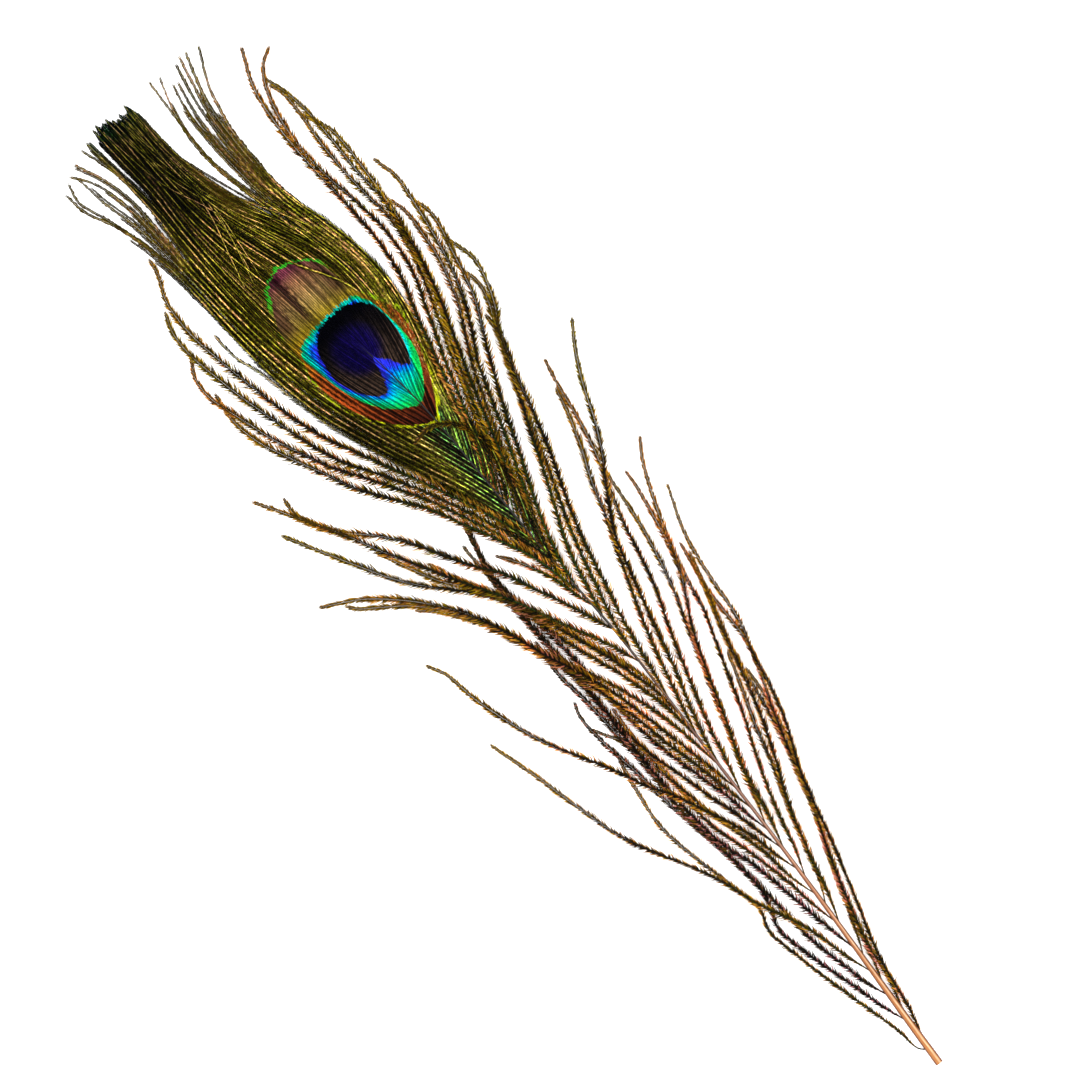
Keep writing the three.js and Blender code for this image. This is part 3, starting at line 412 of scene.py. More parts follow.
def barb_between(guide, other, f, random):
    """A barb that springs between two guides and closes up to the nearer one."""
    root = guide.root + f * (other.root - guide.root)
    own, share = (guide, f) if f < 0.5 else (other, f - 1)
    free = (1 - f) * guide.line + f * other.line
    beside = directions(own.line)[1]
    hold = LOOSE if LOOSE in (guide.hold, other.hold) else own.hold
    strength, near_root, near_tip, shortest, longest = CLOSING[hold]
    pull = strength * soft_step(t_line, near_root, near_tip)
    keep = random.uniform(shortest, longest)
    side = np.sign(((free - own.line) * beside).sum(axis=1)[GUIDE_POINTS // 3])
    spread = side * own.width * (0.2 + 0.5 * abs(share)) * beside * soft_step(t_line, 0.02, 0.3)
    wave = np.sin(np.pi * (t_line * random.uniform(1, 3) + 2 * random.random()))
    strays = own.hold != LOOSE and random.random() < STRAY_SHARE
    sway = random.uniform(0.8, 1.6) if strays else random.uniform(0.05, 0.35)
    wander = sway * wave * beside * soft_step(t_line, 0.3, 0.75)
    line = free + pull * (own.line + spread - free) + wander
    start = np.array([shaft_x(root), root])
    line = line + (start - line[0]) * (1 - soft_step(t_line, 0, 0.08))
    line, _ = evenly(line[: int(keep * GUIDE_POINTS)], GUIDE_POINTS)
    rise = (1 - f) * guide.rise + f * other.rise
    rise = rise + (own.rise - rise) * OWN_ARCH
    return root, own, line, height_of(own, rise, root)


def barbs_between(guides, random):
    """The barbs along the guides, and the others that spring between them."""
    barbs, others = [], []
    for guide, other in zip(guides[:-1], guides[1:]):
        count = extra_count(guide, other)
        found = [(guide.root, guide, guide.line, height_of(guide, guide.rise, guide.root))]
        found += [barb_between(guide, other, i / (count + 1), random) for i in range(1, count + 1)]
        for place, (root, own, line, height) in enumerate(found):
            depth = random.random()
            if guide.hold != LOOSE:
                depth = depth * 0.62 if place else 0.5 + 0.5 * depth
                loose_layers = 0.15 + 0.75 * soft_step(line[:, 1], *OPENING)
                height = height + (depth - 0.5) * loose_layers
            else:
                depth = 0.3 * depth if guide.tone < 0.15 else 0.3 + 0.7 * depth
            tone = np.clip(own.tone + random.uniform(-0.25, 0.25), 0, 1) if place else own.tone
            width = own.width * (0.75 if place else 1.0)
            barb = Barb(root, width, line, height, tone, depth, random.uniform(-1, 1))
            (others if place else barbs).append(barb)
    return barbs, others


# ---- Barbs and barbules as one mesh ---------------------------------------------------------

STEM_STEP = 3  # barbules between two sections of a barb's stem
LOWEST = 0.05  # nothing lies lower than this above the ground
CLUMP = 4.0  # length of barb over which its barbules keep to a length
OPEN_RUN = (8, 45)  # along a barb, where its barbules close up
SHORTER = (0.74, 1)  # share of a barb over which its barbules get shorter
FULLER = (0.72, 0.9)  # and over which they get wider
TUFT_FULL = (250, 266)  # how far up the feather the barbules of the tuft get wider
FAR_OUT = 30.0  # the distance given to places that are far from the eye
EYE_WINDOW = ((-12, 188), (32, 256))  # nothing of the eye lies outside it
BATCH = 20000  # places measured at a time
LAYERS = {"weave": "FLOAT_VECTOR", "tone": "FLOAT", "depth": "FLOAT", "grain": "FLOAT",
          "zone": "FLOAT_VECTOR"}


def outline_distance(points, outline):
    """Distance of each point from a closed outline, below zero inside it."""
    line = curve_through(outline, closed=True)[::3]
    start, end = line, np.roll(line, -1, axis=0)
    run = end - start
    run_square = (run**2).sum(axis=1)
    result = np.empty(len(points))
    for first in range(0, len(points), BATCH):
        p = points[first:first + BATCH, None]
        t = np.clip(((p - start) * run).sum(axis=2) / run_square, 0, 1)
        away = np.linalg.norm(p - start - t[..., None] * run, axis=2).min(axis=1)
        above = (start[:, 1] > p[..., 1]) != (end[:, 1] > p[..., 1])
        with np.errstate(divide="ignore", invalid="ignore"):
            cross = start[:, 0] + (p[..., 1] - start[:, 1]) * run[:, 0] / run[:, 1]
        inside = (above & (p[..., 0] < cross)).sum(axis=1) % 2 == 1
        result[first:first + BATCH] = np.where(inside, -away, away)
    return result


class BarbCloth:
    """Collects the stems and barbules of many barbs, then makes one piece of them."""

    def __init__(self):
        self.vertices, self.quads, self.tris, self.map = [], [], [], []
        self.layers = {label: [] for label in LAYERS}
        self.count = 0

    def add(self, vertices, quads, places, **layers):
        self.vertices.append(vertices)
        self.quads.append(quads + self.count)
        self.map.append(places)
        for label, values in layers.items():
            values = values if np.ndim(values) else np.full(len(vertices), values)
            self.layers[label].append(values)
        self.count += len(vertices)

    def piece(self, name, material, slot):
        points = np.vstack(self.vertices)
        quads, tris = np.vstack(self.quads), np.vstack(self.tris)
        mesh = bpy.data.meshes.new(name)
        mesh.vertices.add(len(points))
        mesh.vertices.foreach_set("co", ((points - BOX_MIDDLE) * MM).ravel())
        corners = np.concatenate([quads.ravel(), tris.ravel()])
        mesh.loops.add(len(corners))
        mesh.loops.foreach_set("vertex_index", corners)
        mesh.polygons.add(len(quads) + len(tris))
        quad_starts, tri_starts = np.arange(len(quads)) * 4, np.arange(len(tris)) * 3
        starts = np.concatenate([quad_starts, quads.size + tri_starts])
        mesh.polygons.foreach_set("loop_start", starts)
        for label, kind in LAYERS.items():
            layer = mesh.attributes.new(label, kind, "POINT")
            values = np.concatenate(self.layers[label]).astype(np.float32)
            layer.data.foreach_set("vector" if kind == "FLOAT_VECTOR" else "value", values.ravel())
        bake_map = mesh.uv_layers.new(name="OFBake")
        places = np.vstack(self.map)[corners].astype(np.float32)
        bake_map.uv.foreach_set("vector", places.ravel())
        mesh.update(calc_edges=True)
        mesh.validate()
        finished(name, mesh, material)


def finished(name, mesh, material):
    """Gives a mesh its material and makes it one of the feather's pieces."""
    mesh.materials.append(material)
    piece = bpy.data.objects.new(name, mesh)
    bpy.context.scene.collection.objects.link(piece)
    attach(piece, "root")
    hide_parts("feather")


def zones_at(plan, with_eye):
    """For each place: its distance outside the bronze leaf, the teal zone and the dark heart."""
    zone = np.full((len(plan), 3), FAR_OUT)
    if with_eye:
        low, high = EYE_WINDOW
        near = ((plan > low) & (plan < high)).all(axis=1)
        for column, outline in enumerate((BRONZE_OUTLINE, TEAL_OUTLINE, HEART_OUTLINE)):
            zone[near, column] = outline_distance(plan[near], outline)
    return zone


def lay_barbs(name, barbs, look, material, slot, seed, with_eye=False):
    """One piece: for each barb a thin three-sided stem, and barbules along both of its sides."""
    random = np.random.default_rng(seed)
    cloth = BarbCloth()
    stations = np.array(look.stations)
    blade_size = 2 * len(stations)
    fan_of_one = np.concatenate([stations, stations[::-1]])
    strip = 1 / len(barbs)
    for number, barb in enumerate(barbs):
        steps = max(int(evenly(barb.line, 2)[1] / look.pitch), 8)
        steps += (1 - steps) % STEM_STEP
        middle, length = evenly(np.column_stack([barb.line, barb.height]), steps)
        t = np.linspace(0, 1, steps)
        run = t * length
        along, beside = directions(middle[:, :2])
        shift = along * barb.jitter * look.ragged
        along_map = t * 0.99 + 0.005
        pitch = length / (steps - 1)
        # the stem
        at = np.arange(0, steps, STEM_STEP)
        radius = look.stem * (1 - 0.7 * soft_step(t[at], 0, 0.8))
        ring = []
        for across, up in ((1, -0.5), (-1, -0.5), (0, 0.9)):
            ring.append(np.column_stack([middle[at, :2] + beside[at] * (across * radius)[:, None],
                                         middle[at, 2] + up * radius]))
        vertices = np.stack(ring, axis=1).reshape(-1, 3)
        vertices[:, 2] = np.maximum(vertices[:, 2], LOWEST)
        rows = np.arange(len(at) - 1)[:, None] * 3
        quads = np.vstack([np.column_stack([rows + i, rows + 3 + i, rows + 3 + (i + 1) % 3,
                                            rows + (i + 1) % 3]) for i in range(3)])
        last = 3 * (len(at) - 1)
        cloth.tris.append(np.array([[0, 1, 2], [last + 2, last + 1, last]]) + cloth.count)
        cloth.add(vertices, quads, tone=barb.tone, depth=barb.depth, grain=0.5,
                  zone=zones_at(vertices[:, :2] + np.repeat(shift[at], 3, axis=0), with_eye),
                  weave=np.column_stack([np.repeat(run[at], 3), np.zeros(len(vertices)),
                                         np.full(len(vertices), number)]),
                  places=np.column_stack([
                      np.repeat(along_map[at], 3),
                      strip * (number + 0.42 + 0.08 * np.tile([0, 1, 2], len(at)))]))
        # the barbules
        spots = np.arange(0, length + 2 * CLUMP, CLUMP)
        bare = np.array(look.bare) * (1 - 0.8 * soft_step(barb.root, BARE_BELOW, CLOTHED_ABOVE))
        for side in (1, -1):
            clumps = np.interp(run, spots, random.uniform(0.8, 1.12, len(spots)))
            reach = (look.reach * barb.width * (0.1 + 0.9 * soft_step(run, *bare))
                     * (1 - look.tip * soft_step(t, *SHORTER)) * clumps
                     * random.uniform(0.7, 1.18, steps)
                     * (1 + look.flare * soft_step(middle[:, 1], *OPENING)))
            reach = np.minimum(reach, (length - run) * 0.5 + 0.3)
            slant = np.radians(random.normal(look.slant, look.stray, steps)
                               + look.open * (1 - soft_step(run, *OPEN_RUN)))
            lift = reach * random.normal(look.lift, 0.1, steps)
            twist = look.twist * pitch * random.uniform(0.4, 1.6, steps)
            fill = (1 + look.fill * soft_step(middle[:, 1], *TUFT_FULL)
                    + look.tip * soft_step(t, *FULLER))
            root = middle[:, :2] + beside * side * look.stem * 0.4
            lows, tops = [], []
            for at_blade, wide in zip(stations, look.blade):
                turned = slant * (1 + look.curl * (0.5 - at_blade))
                out = along * np.cos(turned)[:, None] + beside * (side * np.sin(turned))[:, None]
                place = root + out * (reach * at_blade)[:, None]
                half = along * (pitch * wide / 2 * fill)[:, None]
                high = middle[:, 2] + lift * at_blade
                lows.append(np.column_stack([place - half, high - twist * wide]))
                tops.append(np.column_stack([place + half, high + twist * wide]))
            corners = np.stack(lows + tops[::-1], axis=1).reshape(-1, 3)
            corners[:, 2] = np.maximum(corners[:, 2], LOWEST)
            quads = np.vstack([
                np.arange(steps)[:, None] * blade_size
                + np.array([j, j + 1, blade_size - 2 - j, blade_size - 1 - j])[::-side]
                for j in range(len(stations) - 1)])
            fan = np.tile(fan_of_one, steps)
            edge = np.tile(np.repeat([-0.45, 0.45], len(stations)), steps) / steps
            cloth.add(corners, quads, tone=barb.tone, depth=barb.depth,
                      grain=np.repeat(random.random(steps), blade_size),
                      zone=zones_at(corners[:, :2] + np.repeat(shift, blade_size, axis=0),
                                    with_eye),
                      weave=np.column_stack([np.repeat(run, blade_size), fan,
                                             np.full(len(corners), number + 0.05 * side)]),
                      places=np.column_stack([
                          np.clip(np.repeat(along_map, blade_size) + edge, 0, 1),
                          strip * (number + 0.5 + side * (0.12 + 0.36 * fan))]))
    cloth.piece(name, material, slot)


# ---- Finishes -------------------------------------------------------------------------------
#
# Numbers beside x, y, run, bronze, teal and heart are millimetres: places on the feather, the way
# along a barb from its root, and distances outside the three outlines of the eye. The others are
# shares from 0 to 1. A colour's brightness may go past 1.


class Recipe:
    """A material and short ways to build its nodes."""

    def __init__(self, name, roughness=0.5, metallic=0.0, specular=0.5):
        self.material = bpy.data.materials.new(name)
        self.material.use_nodes = True
        self.tree = self.material.node_tree
        self.shader = self.tree.nodes["Principled BSDF"]
        self.shader.inputs["Roughness"].default_value = roughness
        self.shader.inputs["Metallic"].default_value = metallic
        self.shader.inputs["Specular IOR Level"].default_value = specular

    def node(self, kind, inputs=(), **settings):
        node = self.tree.nodes.new("ShaderNode" + kind)
        for key, value in settings.items():
            setattr(node, key, value)
        for key, value in dict(inputs).items():
            if isinstance(value, bpy.types.NodeSocket):
                self.tree.links.new(value, node.inputs[key])
            else:
                node.inputs[key].default_value = value
        return node

    def value(self, name):
        return self.node("Attribute", attribute_name=name).outputs["Fac"]

    def parts(self, name):
        vector = self.node("Attribute", attribute_name=name).outputs["Vector"]
        return self.node("SeparateXYZ", {0: vector}).outputs

    def place(self):
        """X and Y in millimetres in the feather's own frame."""
        found = self.node("TexCoord").outputs["Object"]
        x, y, _ = self.node("SeparateXYZ", {0: found}).outputs
        return (self.times_plus(x, 1 / MM, BOX_MIDDLE[0]),
                self.times_plus(y, 1 / MM, BOX_MIDDLE[1]))

    def sum(self, operation, *terms):
        return self.node("Math", dict(enumerate(terms)), operation=operation).outputs[0]

    def times(self, first, *others):
        for other in others:
            first = self.sum("MULTIPLY", first, other)
        return first

    def times_plus(self, value, factor, more):
        return self.sum("MULTIPLY_ADD", value, factor, more)

    def less(self, value, taken):
        return self.sum("SUBTRACT", value, taken)

    def rest(self, share):
        return self.less(1.0, share)

    def most(self, first, second):
        return self.sum("MAXIMUM", first, second)

    def away(self, value, place):
        """Distance from a place, on either side."""
        return self.sum("ABSOLUTE", self.less(value, place))

    def step(self, value, low, high, start=0.0, end=1.0, kind="SMOOTHSTEP"):
        """Goes from start, at low, to end, at high."""
        ends = {0: value, 1: low, 2: high, 3: start, 4: end}
        return self.node("MapRange", ends, interpolation_type=kind).outputs[0]

    def fall(self, value, low, high):
        return self.step(value, low, high, 1.0, 0.0)

    def ratio(self, value, low, high):
        return self.step(value, low, high, kind="LINEAR")

    def vector(self, x, y, z=0.0):
        return self.node("CombineXYZ", {0: x, 1: y, 2: z}).outputs[0]

    def noise(self, vector, scale, detail):
        found = self.node("TexNoise", {"Vector": vector, "Scale": scale, "Detail": detail})
        return self.step(found.outputs["Fac"], 0.3, 0.7)

    def streaks(self, first, scale, second, other_scale, detail):
        """Noise over two values, each with a scale of its own."""
        vector = self.vector(self.times(first, scale), self.times(second, other_scale))
        return self.noise(vector, 1.0, detail)

    def ramp(self, factor, stops, colour=paint):
        """Colours along a factor. Each stop is its place and what its colour is made from."""
        node = self.node("ValToRGB", {0: factor})
        elements = node.color_ramp.elements
        while len(elements) < len(stops):
            elements.new(1.0)
        for element, (at, *parts) in zip(elements, stops):
            element.position = at
            element.color = colour(*parts)
        return node.outputs[0]

    def mix(self, factor, first, second, blend="MIX"):
        sockets = {0: factor, 6: first, 7: second}
        return self.node("Mix", sockets, data_type="RGBA", blend_type=blend).outputs[2]

    def scaled(self, colour, factor):
        return self.node("VectorMath", {0: colour, 3: factor}, operation="SCALE").outputs[0]

    def set(self, socket, found):
        self.tree.links.new(found, self.shader.inputs[socket])


def barb_colour(r, strokes, stops):
    """Colours of the olive and brown barbs. Each barb has a tone, which changes along it."""
    run, fan, number = r.parts("weave")
    tone, grain = r.value("tone"), r.value("grain")
    streak = r.streaks(run, 0.1, number, 3.7, 3)
    mottle = r.noise(r.vector(run, r.times(number, 5.3), fan), 0.9, 2)
    mixed = r.times_plus(streak, 0.32, r.times(tone, 0.26))
    mixed = r.times_plus(mottle, 0.08, mixed)
    mixed = r.times_plus(grain, 0.34, mixed)
    # strokes: a few barbules light, the next few dark
    stroke = r.streaks(run, strokes, number, 40, 1)
    stroke = r.times_plus(stroke, 0.68, r.times(grain, 0.32))
    return r.ramp(mixed, stops), run, fan, number, tone, grain, mottle, streak, stroke


def loose_barb_finish():
    """Loose barbs: dark thin stems with brown, rosy and olive barbules."""
    r = Recipe("loose barb", roughness=0.5, specular=0.05)
    colour, run, fan, _, tone, _, mottle, streak, stroke = barb_colour(r, 2.3, [
        (0.12, 60, 30, 12), (0.24, 118, 66, 20), (0.36, 116, 100, 6),
        (0.46, 164, 96, 26), (0.56, 138, 122, 8), (0.68, 192, 106, 48),
        (0.80, 206, 106, 92), (0.95, 222, 150, 60)])
    x, y = r.place()
    strip_map = r.node("UVMap", uv_map="OFBake").outputs[0]
    along = r.node("SeparateXYZ", {0: strip_map}).outputs[0]
    depth = r.value("depth")
    tip = r.times(r.step(along, 0.64, 0.97), r.step(depth, 0.1, 0.35, 0.25, 1))
    # pale rosy ends on some barbules, olive and orange tips of the barbs
    rosy = r.times(r.step(tone, 0.35, 0.85), r.step(y, 100, 160, 1, 0.45))
    edge = r.mix(rosy, paint(226, 160, 50), paint(240, 138, 116))
    ends = r.times(r.step(fan, 0.25, 0.8), r.step(streak, 0.15, 0.65))
    colour = r.mix(r.times(ends, r.step(depth, 0.12, 0.3)), colour, edge)
    tip_colour = r.mix(tone, paint(136, 124, 16), paint(176, 100, 34))
    colour = r.mix(r.times(tip, 0.7), colour, tip_colour)
    # light strokes over dark ones, darker in the deep barbs and near the stem
    bright = r.times(r.step(stroke, 0.32, 0.76, 0.02, 1.5), r.step(fan, 0.05, 0.5, 0.12, 1))
    bright = r.most(bright, r.times(r.step(fan, 0.4, 0.95), 0.34))
    bright = r.times(bright, r.most(r.step(depth, 0, 0.35, 0.3, 1), r.times(tip, 0.85)))
    bright = r.times(r.most(bright, r.times(tip, 0.2)), r.step(y, 10, 100, 0.7, 1))
    fleck = r.times(r.step(stroke, 0.62, 0.8), r.step(depth, 0.1, 0.3, 0.8, 0),
                    r.fall(x, 8, 10), r.rest(tip))
    # the dark bundle that crosses on the left, with rosy flecks
    bundle_x = r.step(y, 100, 175, -8, 1, kind="LINEAR")
    bundle = r.times(r.fall(r.away(x, bundle_x), 1.8, 4.4),
                     r.step(y, 80, 110), r.step(y, 166, 176, 1, 0.3))
    bright = r.times(bright, r.times_plus(bundle, -0.55, 1))
    fleck = r.most(fleck, r.times(bundle, r.step(stroke, 0.66, 0.86, 0, 0.7)))
    colour = r.mix(fleck, r.scaled(colour, bright), paint(196, 116, 122))
    colour = r.mix(r.step(y, 60, 110), colour, (1, 0.93, 0.55, 1), "MULTIPLY")
    colour = r.mix(r.step(y, 120, 190), colour, (0.66, 0.84, 0.62, 1), "MULTIPLY")
    fresh = r.times(r.step(run, 15, 60, 0.4, 0), r.step(depth, 0.25, 0.5))
    lime = r.mix(r.step(y, 125, 150), paint(96, 98, 10), paint(66, 122, 40))
    stem = r.mix(r.times(fresh, r.step(stroke, 0.35, 0.7)), paint(12, 8, 5), lime)
    stem = r.mix(r.times(tip, 0.9), stem, paint(84, 62, 10))
    colour = r.mix(r.fall(fan, 0, 0.16), colour, stem)
    r.set("Base Color", colour)
    r.set("Roughness", r.step(mottle, 0, 1, 0.62, 0.36))
    return r.material


def vane_finish():
    """The close vane: olive outside, then the eye's bronze leaf, teal zone and dark heart."""
    r = Recipe("iridescent vane", specular=0.05)
    olive, run, fan, number, tone, grain, mottle, streak, stroke = barb_colour(r, 1.1, [
        (0.14, 34, 26, 8), (0.28, 92, 84, 8), (0.42, 122, 124, 8),
        (0.54, 112, 74, 28), (0.66, 140, 142, 18), (0.80, 150, 96, 68),
        (0.95, 184, 138, 100)])
    depth = r.value("depth")
    bronze, teal, heart = r.parts("zone")
    x, y = r.place()
    fine = r.streaks(run, 0.7, number, 4.1, 1)
    ridge = r.fall(fan, 0, 0.16)
    speck = r.step(stroke, 0.22, 0.74, 0.03, 1.9)
    # olive barbs: thin light ridges with painted shade in the gaps between them, green near the
    # shaft and dark in the tuft
    aside = r.step(r.away(x, 1.5), 5, 9)
    tuft = r.times(r.step(y, 252, 282), r.rest(aside))
    free_end = r.times(r.step(y, 256, 270), aside)
    # painted shade: the barbules darken towards their tips, which lie in the gaps between the
    # barbs
    gap = r.step(fan, 0.05, 0.5, 1, r.step(free_end, 0, 1, 0.01, 0.3))
    near_shaft = r.fall(run, 4, 24)
    ridge_colour = r.mix(r.step(streak, 0.35, 0.9), paint(202, 200, 50), paint(216, 164, 112))
    green_ridge = r.mix(tone, paint(96, 190, 96), paint(160, 196, 60))
    ridge_colour = r.mix(near_shaft, ridge_colour, green_ridge)
    dash = r.streaks(run, 0.5, number, 7.1, 2)
    bead = r.streaks(run, 1.4, number, 9.3, 0)
    shade = r.times_plus(r.times(r.fall(y, 204, 226), r.fall(x, 3, 8)), -0.68, 1)  # low, left
    ridge_level = r.times(
        r.step(streak, 0.1, 0.8, 0.25, 1.6), r.step(free_end, 0, 1, 1, 0.2),
        r.step(dash, 0.1, 0.8, 0.12, 1.9), r.step(bead, 0.1, 0.9, 0.4, 1.5),
        r.step(tuft, 0, 1, 1, 0.4), shade)
    # painted shade: near the shaft the barbules are near black between the green stems, a few of
    # them brown
    gap_shade_colour = r.mix(r.step(grain, 0.5, 0.9), paint(10, 22, 8), paint(120, 92, 68))
    olive = r.mix(near_shaft, olive, gap_shade_colour)
    # painted shade and light: the deeper barbs, which lie under the others, darker and the higher
    # ones lighter; the gaps darker as above
    level = r.times(
        r.step(depth, 0.05, 0.9, 0.2, 1.7), gap, speck, r.step(streak, 0.08, 0.92, 0.25, 1.35),
        shade, r.step(tuft, 0, 1, 1, 0.14), r.step(free_end, 0, 1, 1, 0.42))
    level = r.most(level, r.times(free_end, r.step(fan, 0.3, 0.9, 0.09, 0.22)))
    tips = r.mix(r.times(free_end, 0.4), olive, paint(134, 88, 26))
    tips = r.mix(r.times(r.step(y, 294, 300), tuft), tips, paint(12, 120, 50))
    proud = r.times(ridge, r.step(depth, r.step(tuft, 0, 1, 0.45, 0.7), 0.8))
    colour = r.mix(proud, r.scaled(tips, level), r.scaled(ridge_colour, ridge_level))
    # green rim round the bronze leaf, broken up barb by barb
    ends = r.most(r.step(y, 239, 243), r.fall(y, 198, 202))
    ragged = r.times(r.less(tone, 0.4), 1.1)
    rim = r.times(r.step(bronze, -0.1, 0.1), r.fall(r.less(bronze, ragged), 0.35, 0.65))
    dashes = r.times(r.step(depth, 0.5, 0.6), r.step(fine, 0.4, 0.7))
    rim = r.times(rim, r.most(r.times(ends, r.step(depth, 0.05, 0.2)), dashes))
    lime = r.mix(r.step(y, 204, 236), paint(206, 214, 16), paint(150, 196, 30))
    green = r.mix(r.step(y, 238, 244), lime, paint(66, 206, 50))
    # painted shade: the rim's barbules darker towards their tips, in the gaps between the barbs
    green = r.scaled(green, r.step(fan, 0.1, 0.8, 1.1, 0.1))
    colour = r.mix(rim, colour, green)
    # bronze leaf, rusty below and plum at the top, with soft dark streaks
    ring = r.ramp(r.ratio(y, 196, 248), [
        (0, 50, 18, 10), (0.12, 84, 34, 14), (0.3, 132, 56, 18),
        (0.5, 140, 68, 22), (0.60, 164, 108, 18), (0.70, 154, 132, 30), (0.80, 166, 136, 78),
        (0.90, 160, 112, 78), (0.955, 122, 56, 72)])
    fade = r.step(y, 230.5, 236)
    across = r.times_plus(r.less(fine, 0.5), 1.1, x)
    stripe = r.ramp(r.ratio(across, -3, 21), [
        (0.05, 0.5), (0.12, 0.9), (0.20, 0.8), (0.24, 0.1), (0.31, 0.1), (0.345, 0.9),
        (0.385, 0.9), (0.42, 0), (0.57, 0), (0.62, 0.6), (0.65, 0.6), (0.69, 0), (0.76, 0.85)],
        colour=grey)
    ring = r.mix(r.times(fade, 0.9, stripe), ring, paint(58, 16, 30))
    ring = r.scaled(ring, r.step(r.times_plus(tone, 0.8, fine), 0.2, 1.5, 0.6, 1.5))
    # painted shade and light: low in the leaf, the deeper barbs darker and the higher ones lighter
    ring = r.scaled(ring, r.step(y, 222, 232, r.step(depth, 0.3, 0.72, 0.3, 1.5), 1))
    right_ring = r.times(r.step(x, 17.5, 20.5), r.fall(y, 226, 234))
    ring = r.mix(right_ring, ring, r.scaled(ring, r.step(stroke, 0.25, 0.75, 0.12, 1.1)))
    # teal zone, from blue against the heart to green at its edge
    share = r.sum("DIVIDE", heart, r.less(heart, teal))
    share = r.times_plus(r.less(fine, 0.5), 0.24, share)
    left_blue = r.times(r.fall(x, 1, 4), r.step(y, 208, 214))
    notch_blue = r.times(r.step(y, 208, 216.5), r.step(x, 8, 9.5))
    right = r.step(x, 16.2, 18.2)
    shift = r.times_plus(left_blue, -0.3, r.times_plus(notch_blue, -0.5, 0.12))
    share = r.sum("ADD", share, shift)
    share = r.most(share, r.step(y, 229.6, 230.6, 0, 0.62))
    share = r.times_plus(right, 0.55, share)
    water = r.ramp(share, [
        (0, 52, 62, 250), (0.14, 10, 96, 250), (0.30, 0, 160, 244),
        (0.48, 0, 206, 216), (0.78, 4, 220, 156), (1, 16, 200, 92)])
    water = r.scaled(water, r.step(r.times_plus(tone, 0.6, fine), 0.1, 1.4, 0.55, 1.25))
    in_teal = r.fall(teal, -0.1, 0.08)
    # painted shade: fine dark lines between the barbs of the leaf and the teal zone, and the
    # deeper barbs darker and the higher ones lighter
    leaf = r.mix(in_teal, ring, water)
    leaf = r.scaled(leaf, r.step(depth, 0.12, 0.68, 0.32, 1.28))
    leaf = r.scaled(leaf, r.step(fan, 0.3, 0.8, 1.14, 0.06))
    in_leaf = r.fall(bronze, -0.14, 0.1)
    olive_share = r.times(right_ring, r.fall(dash, 0.4, 0.55), r.rest(in_teal))
    in_leaf = r.times(in_leaf, r.rest(olive_share))
    colour = r.mix(in_leaf, colour, leaf)
    # dark heart: black at the top, indigo in the middle, brown lined lobes
    away = r.sum("ADD", r.sum("POWER", r.sum("DIVIDE", r.less(x, 9.6), 7), 2),
                 r.sum("POWER", r.sum("DIVIDE", r.less(y, 220.5), 8), 2))
    hairs = r.times(r.step(fan, 0, 0.3, 1, 0.1), r.step(depth, 0.25, 0.6))
    lobe = r.mix(hairs, paint(20, 16, 16), paint(116, 92, 76))
    night = r.mix(hairs, paint(10, 5, 52), paint(30, 16, 110))
    black = r.mix(hairs, paint(8, 6, 10), paint(40, 34, 34))
    night = r.mix(r.fall(away, 0.15, 1.1), black, night)
    low = r.times(r.fall(y, 213, 224), r.step(away, 0.3, 1))
    night = r.mix(low, night, lobe)
    night = r.mix(r.step(y, 224, 228.5), night, paint(2, 2, 9))
    night = r.scaled(night, r.step(fine, 0, 1, 0.45, 1.1))
    colour = r.mix(r.fall(heart, -0.1, 0.08), colour, night)
    r.set("Base Color", colour)
    r.set("Metallic", r.most(r.times(in_teal, 0.5), 0.08))
    r.set("Roughness", r.step(mottle, 0, 1, 0.55, 0.34))
    return r.material


def shaft_finish():
    r = Recipe("quill horn", roughness=0.35, specular=0.2)
    x, y = r.place()
    streak = r.streaks(x, 2.2, y, 0.05, 4)
    mottle = r.noise(r.vector(x, r.times(y, 0.3)), 2, 3)
    far = r.ratio(y, 0, 220)
    horn = r.ramp(far, [
        (0, 180, 116, 64), (0.10, 166, 104, 56), (0.22, 150, 92, 60),
        (0.34, 120, 80, 64), (0.48, 84, 58, 50), (0.62, 44, 40, 36),
        (1, 16, 16, 20)])
    # pale is the colour of the painted highlight, dark that of the painted shade on the shaft's
    # edges
    pale = r.ramp(far, [
        (0, 232, 196, 150), (0.2, 220, 172, 136), (0.4, 150, 112, 98),
        (0.6, 86, 84, 78), (1, 30, 30, 36)])
    dark = r.ramp(far, [
        (0, 104, 52, 22), (0.3, 54, 28, 18), (0.7, 8, 6, 6)])
    # across the shaft: painted shade on its dark edges, and a painted highlight, a pale line a
    # little to the right of its middle
    facing = r.node("NewGeometry").outputs["Normal"]
    side = r.node("SeparateXYZ", {0: facing}).outputs["X"]
    # painted highlight: the pale line where the surface faces a little to the right
    line = r.times(r.fall(r.away(side, 0.22), 0.05, 0.4), r.times_plus(streak, 0.7, 0.4))
    colour = r.mix(line, horn, pale)
    # painted shade: darker where the surface turns to the sides
    edge = r.step(r.times_plus(mottle, 0.1, r.sum("ABSOLUTE", side)), 0.55, 0.86)
    colour = r.mix(edge, colour, dark)
    r.set("Base Color", r.scaled(colour, r.times_plus(mottle, 0.2, 0.75)))
    r.set("Roughness", r.step(streak, 0, 1, 0.45, 0.26))
    bump = r.node("Bump", {"Strength": 0.25, "Distance": 0.0002, "Height": streak})
    r.set("Normal", bump.outputs[0])
    return r.material


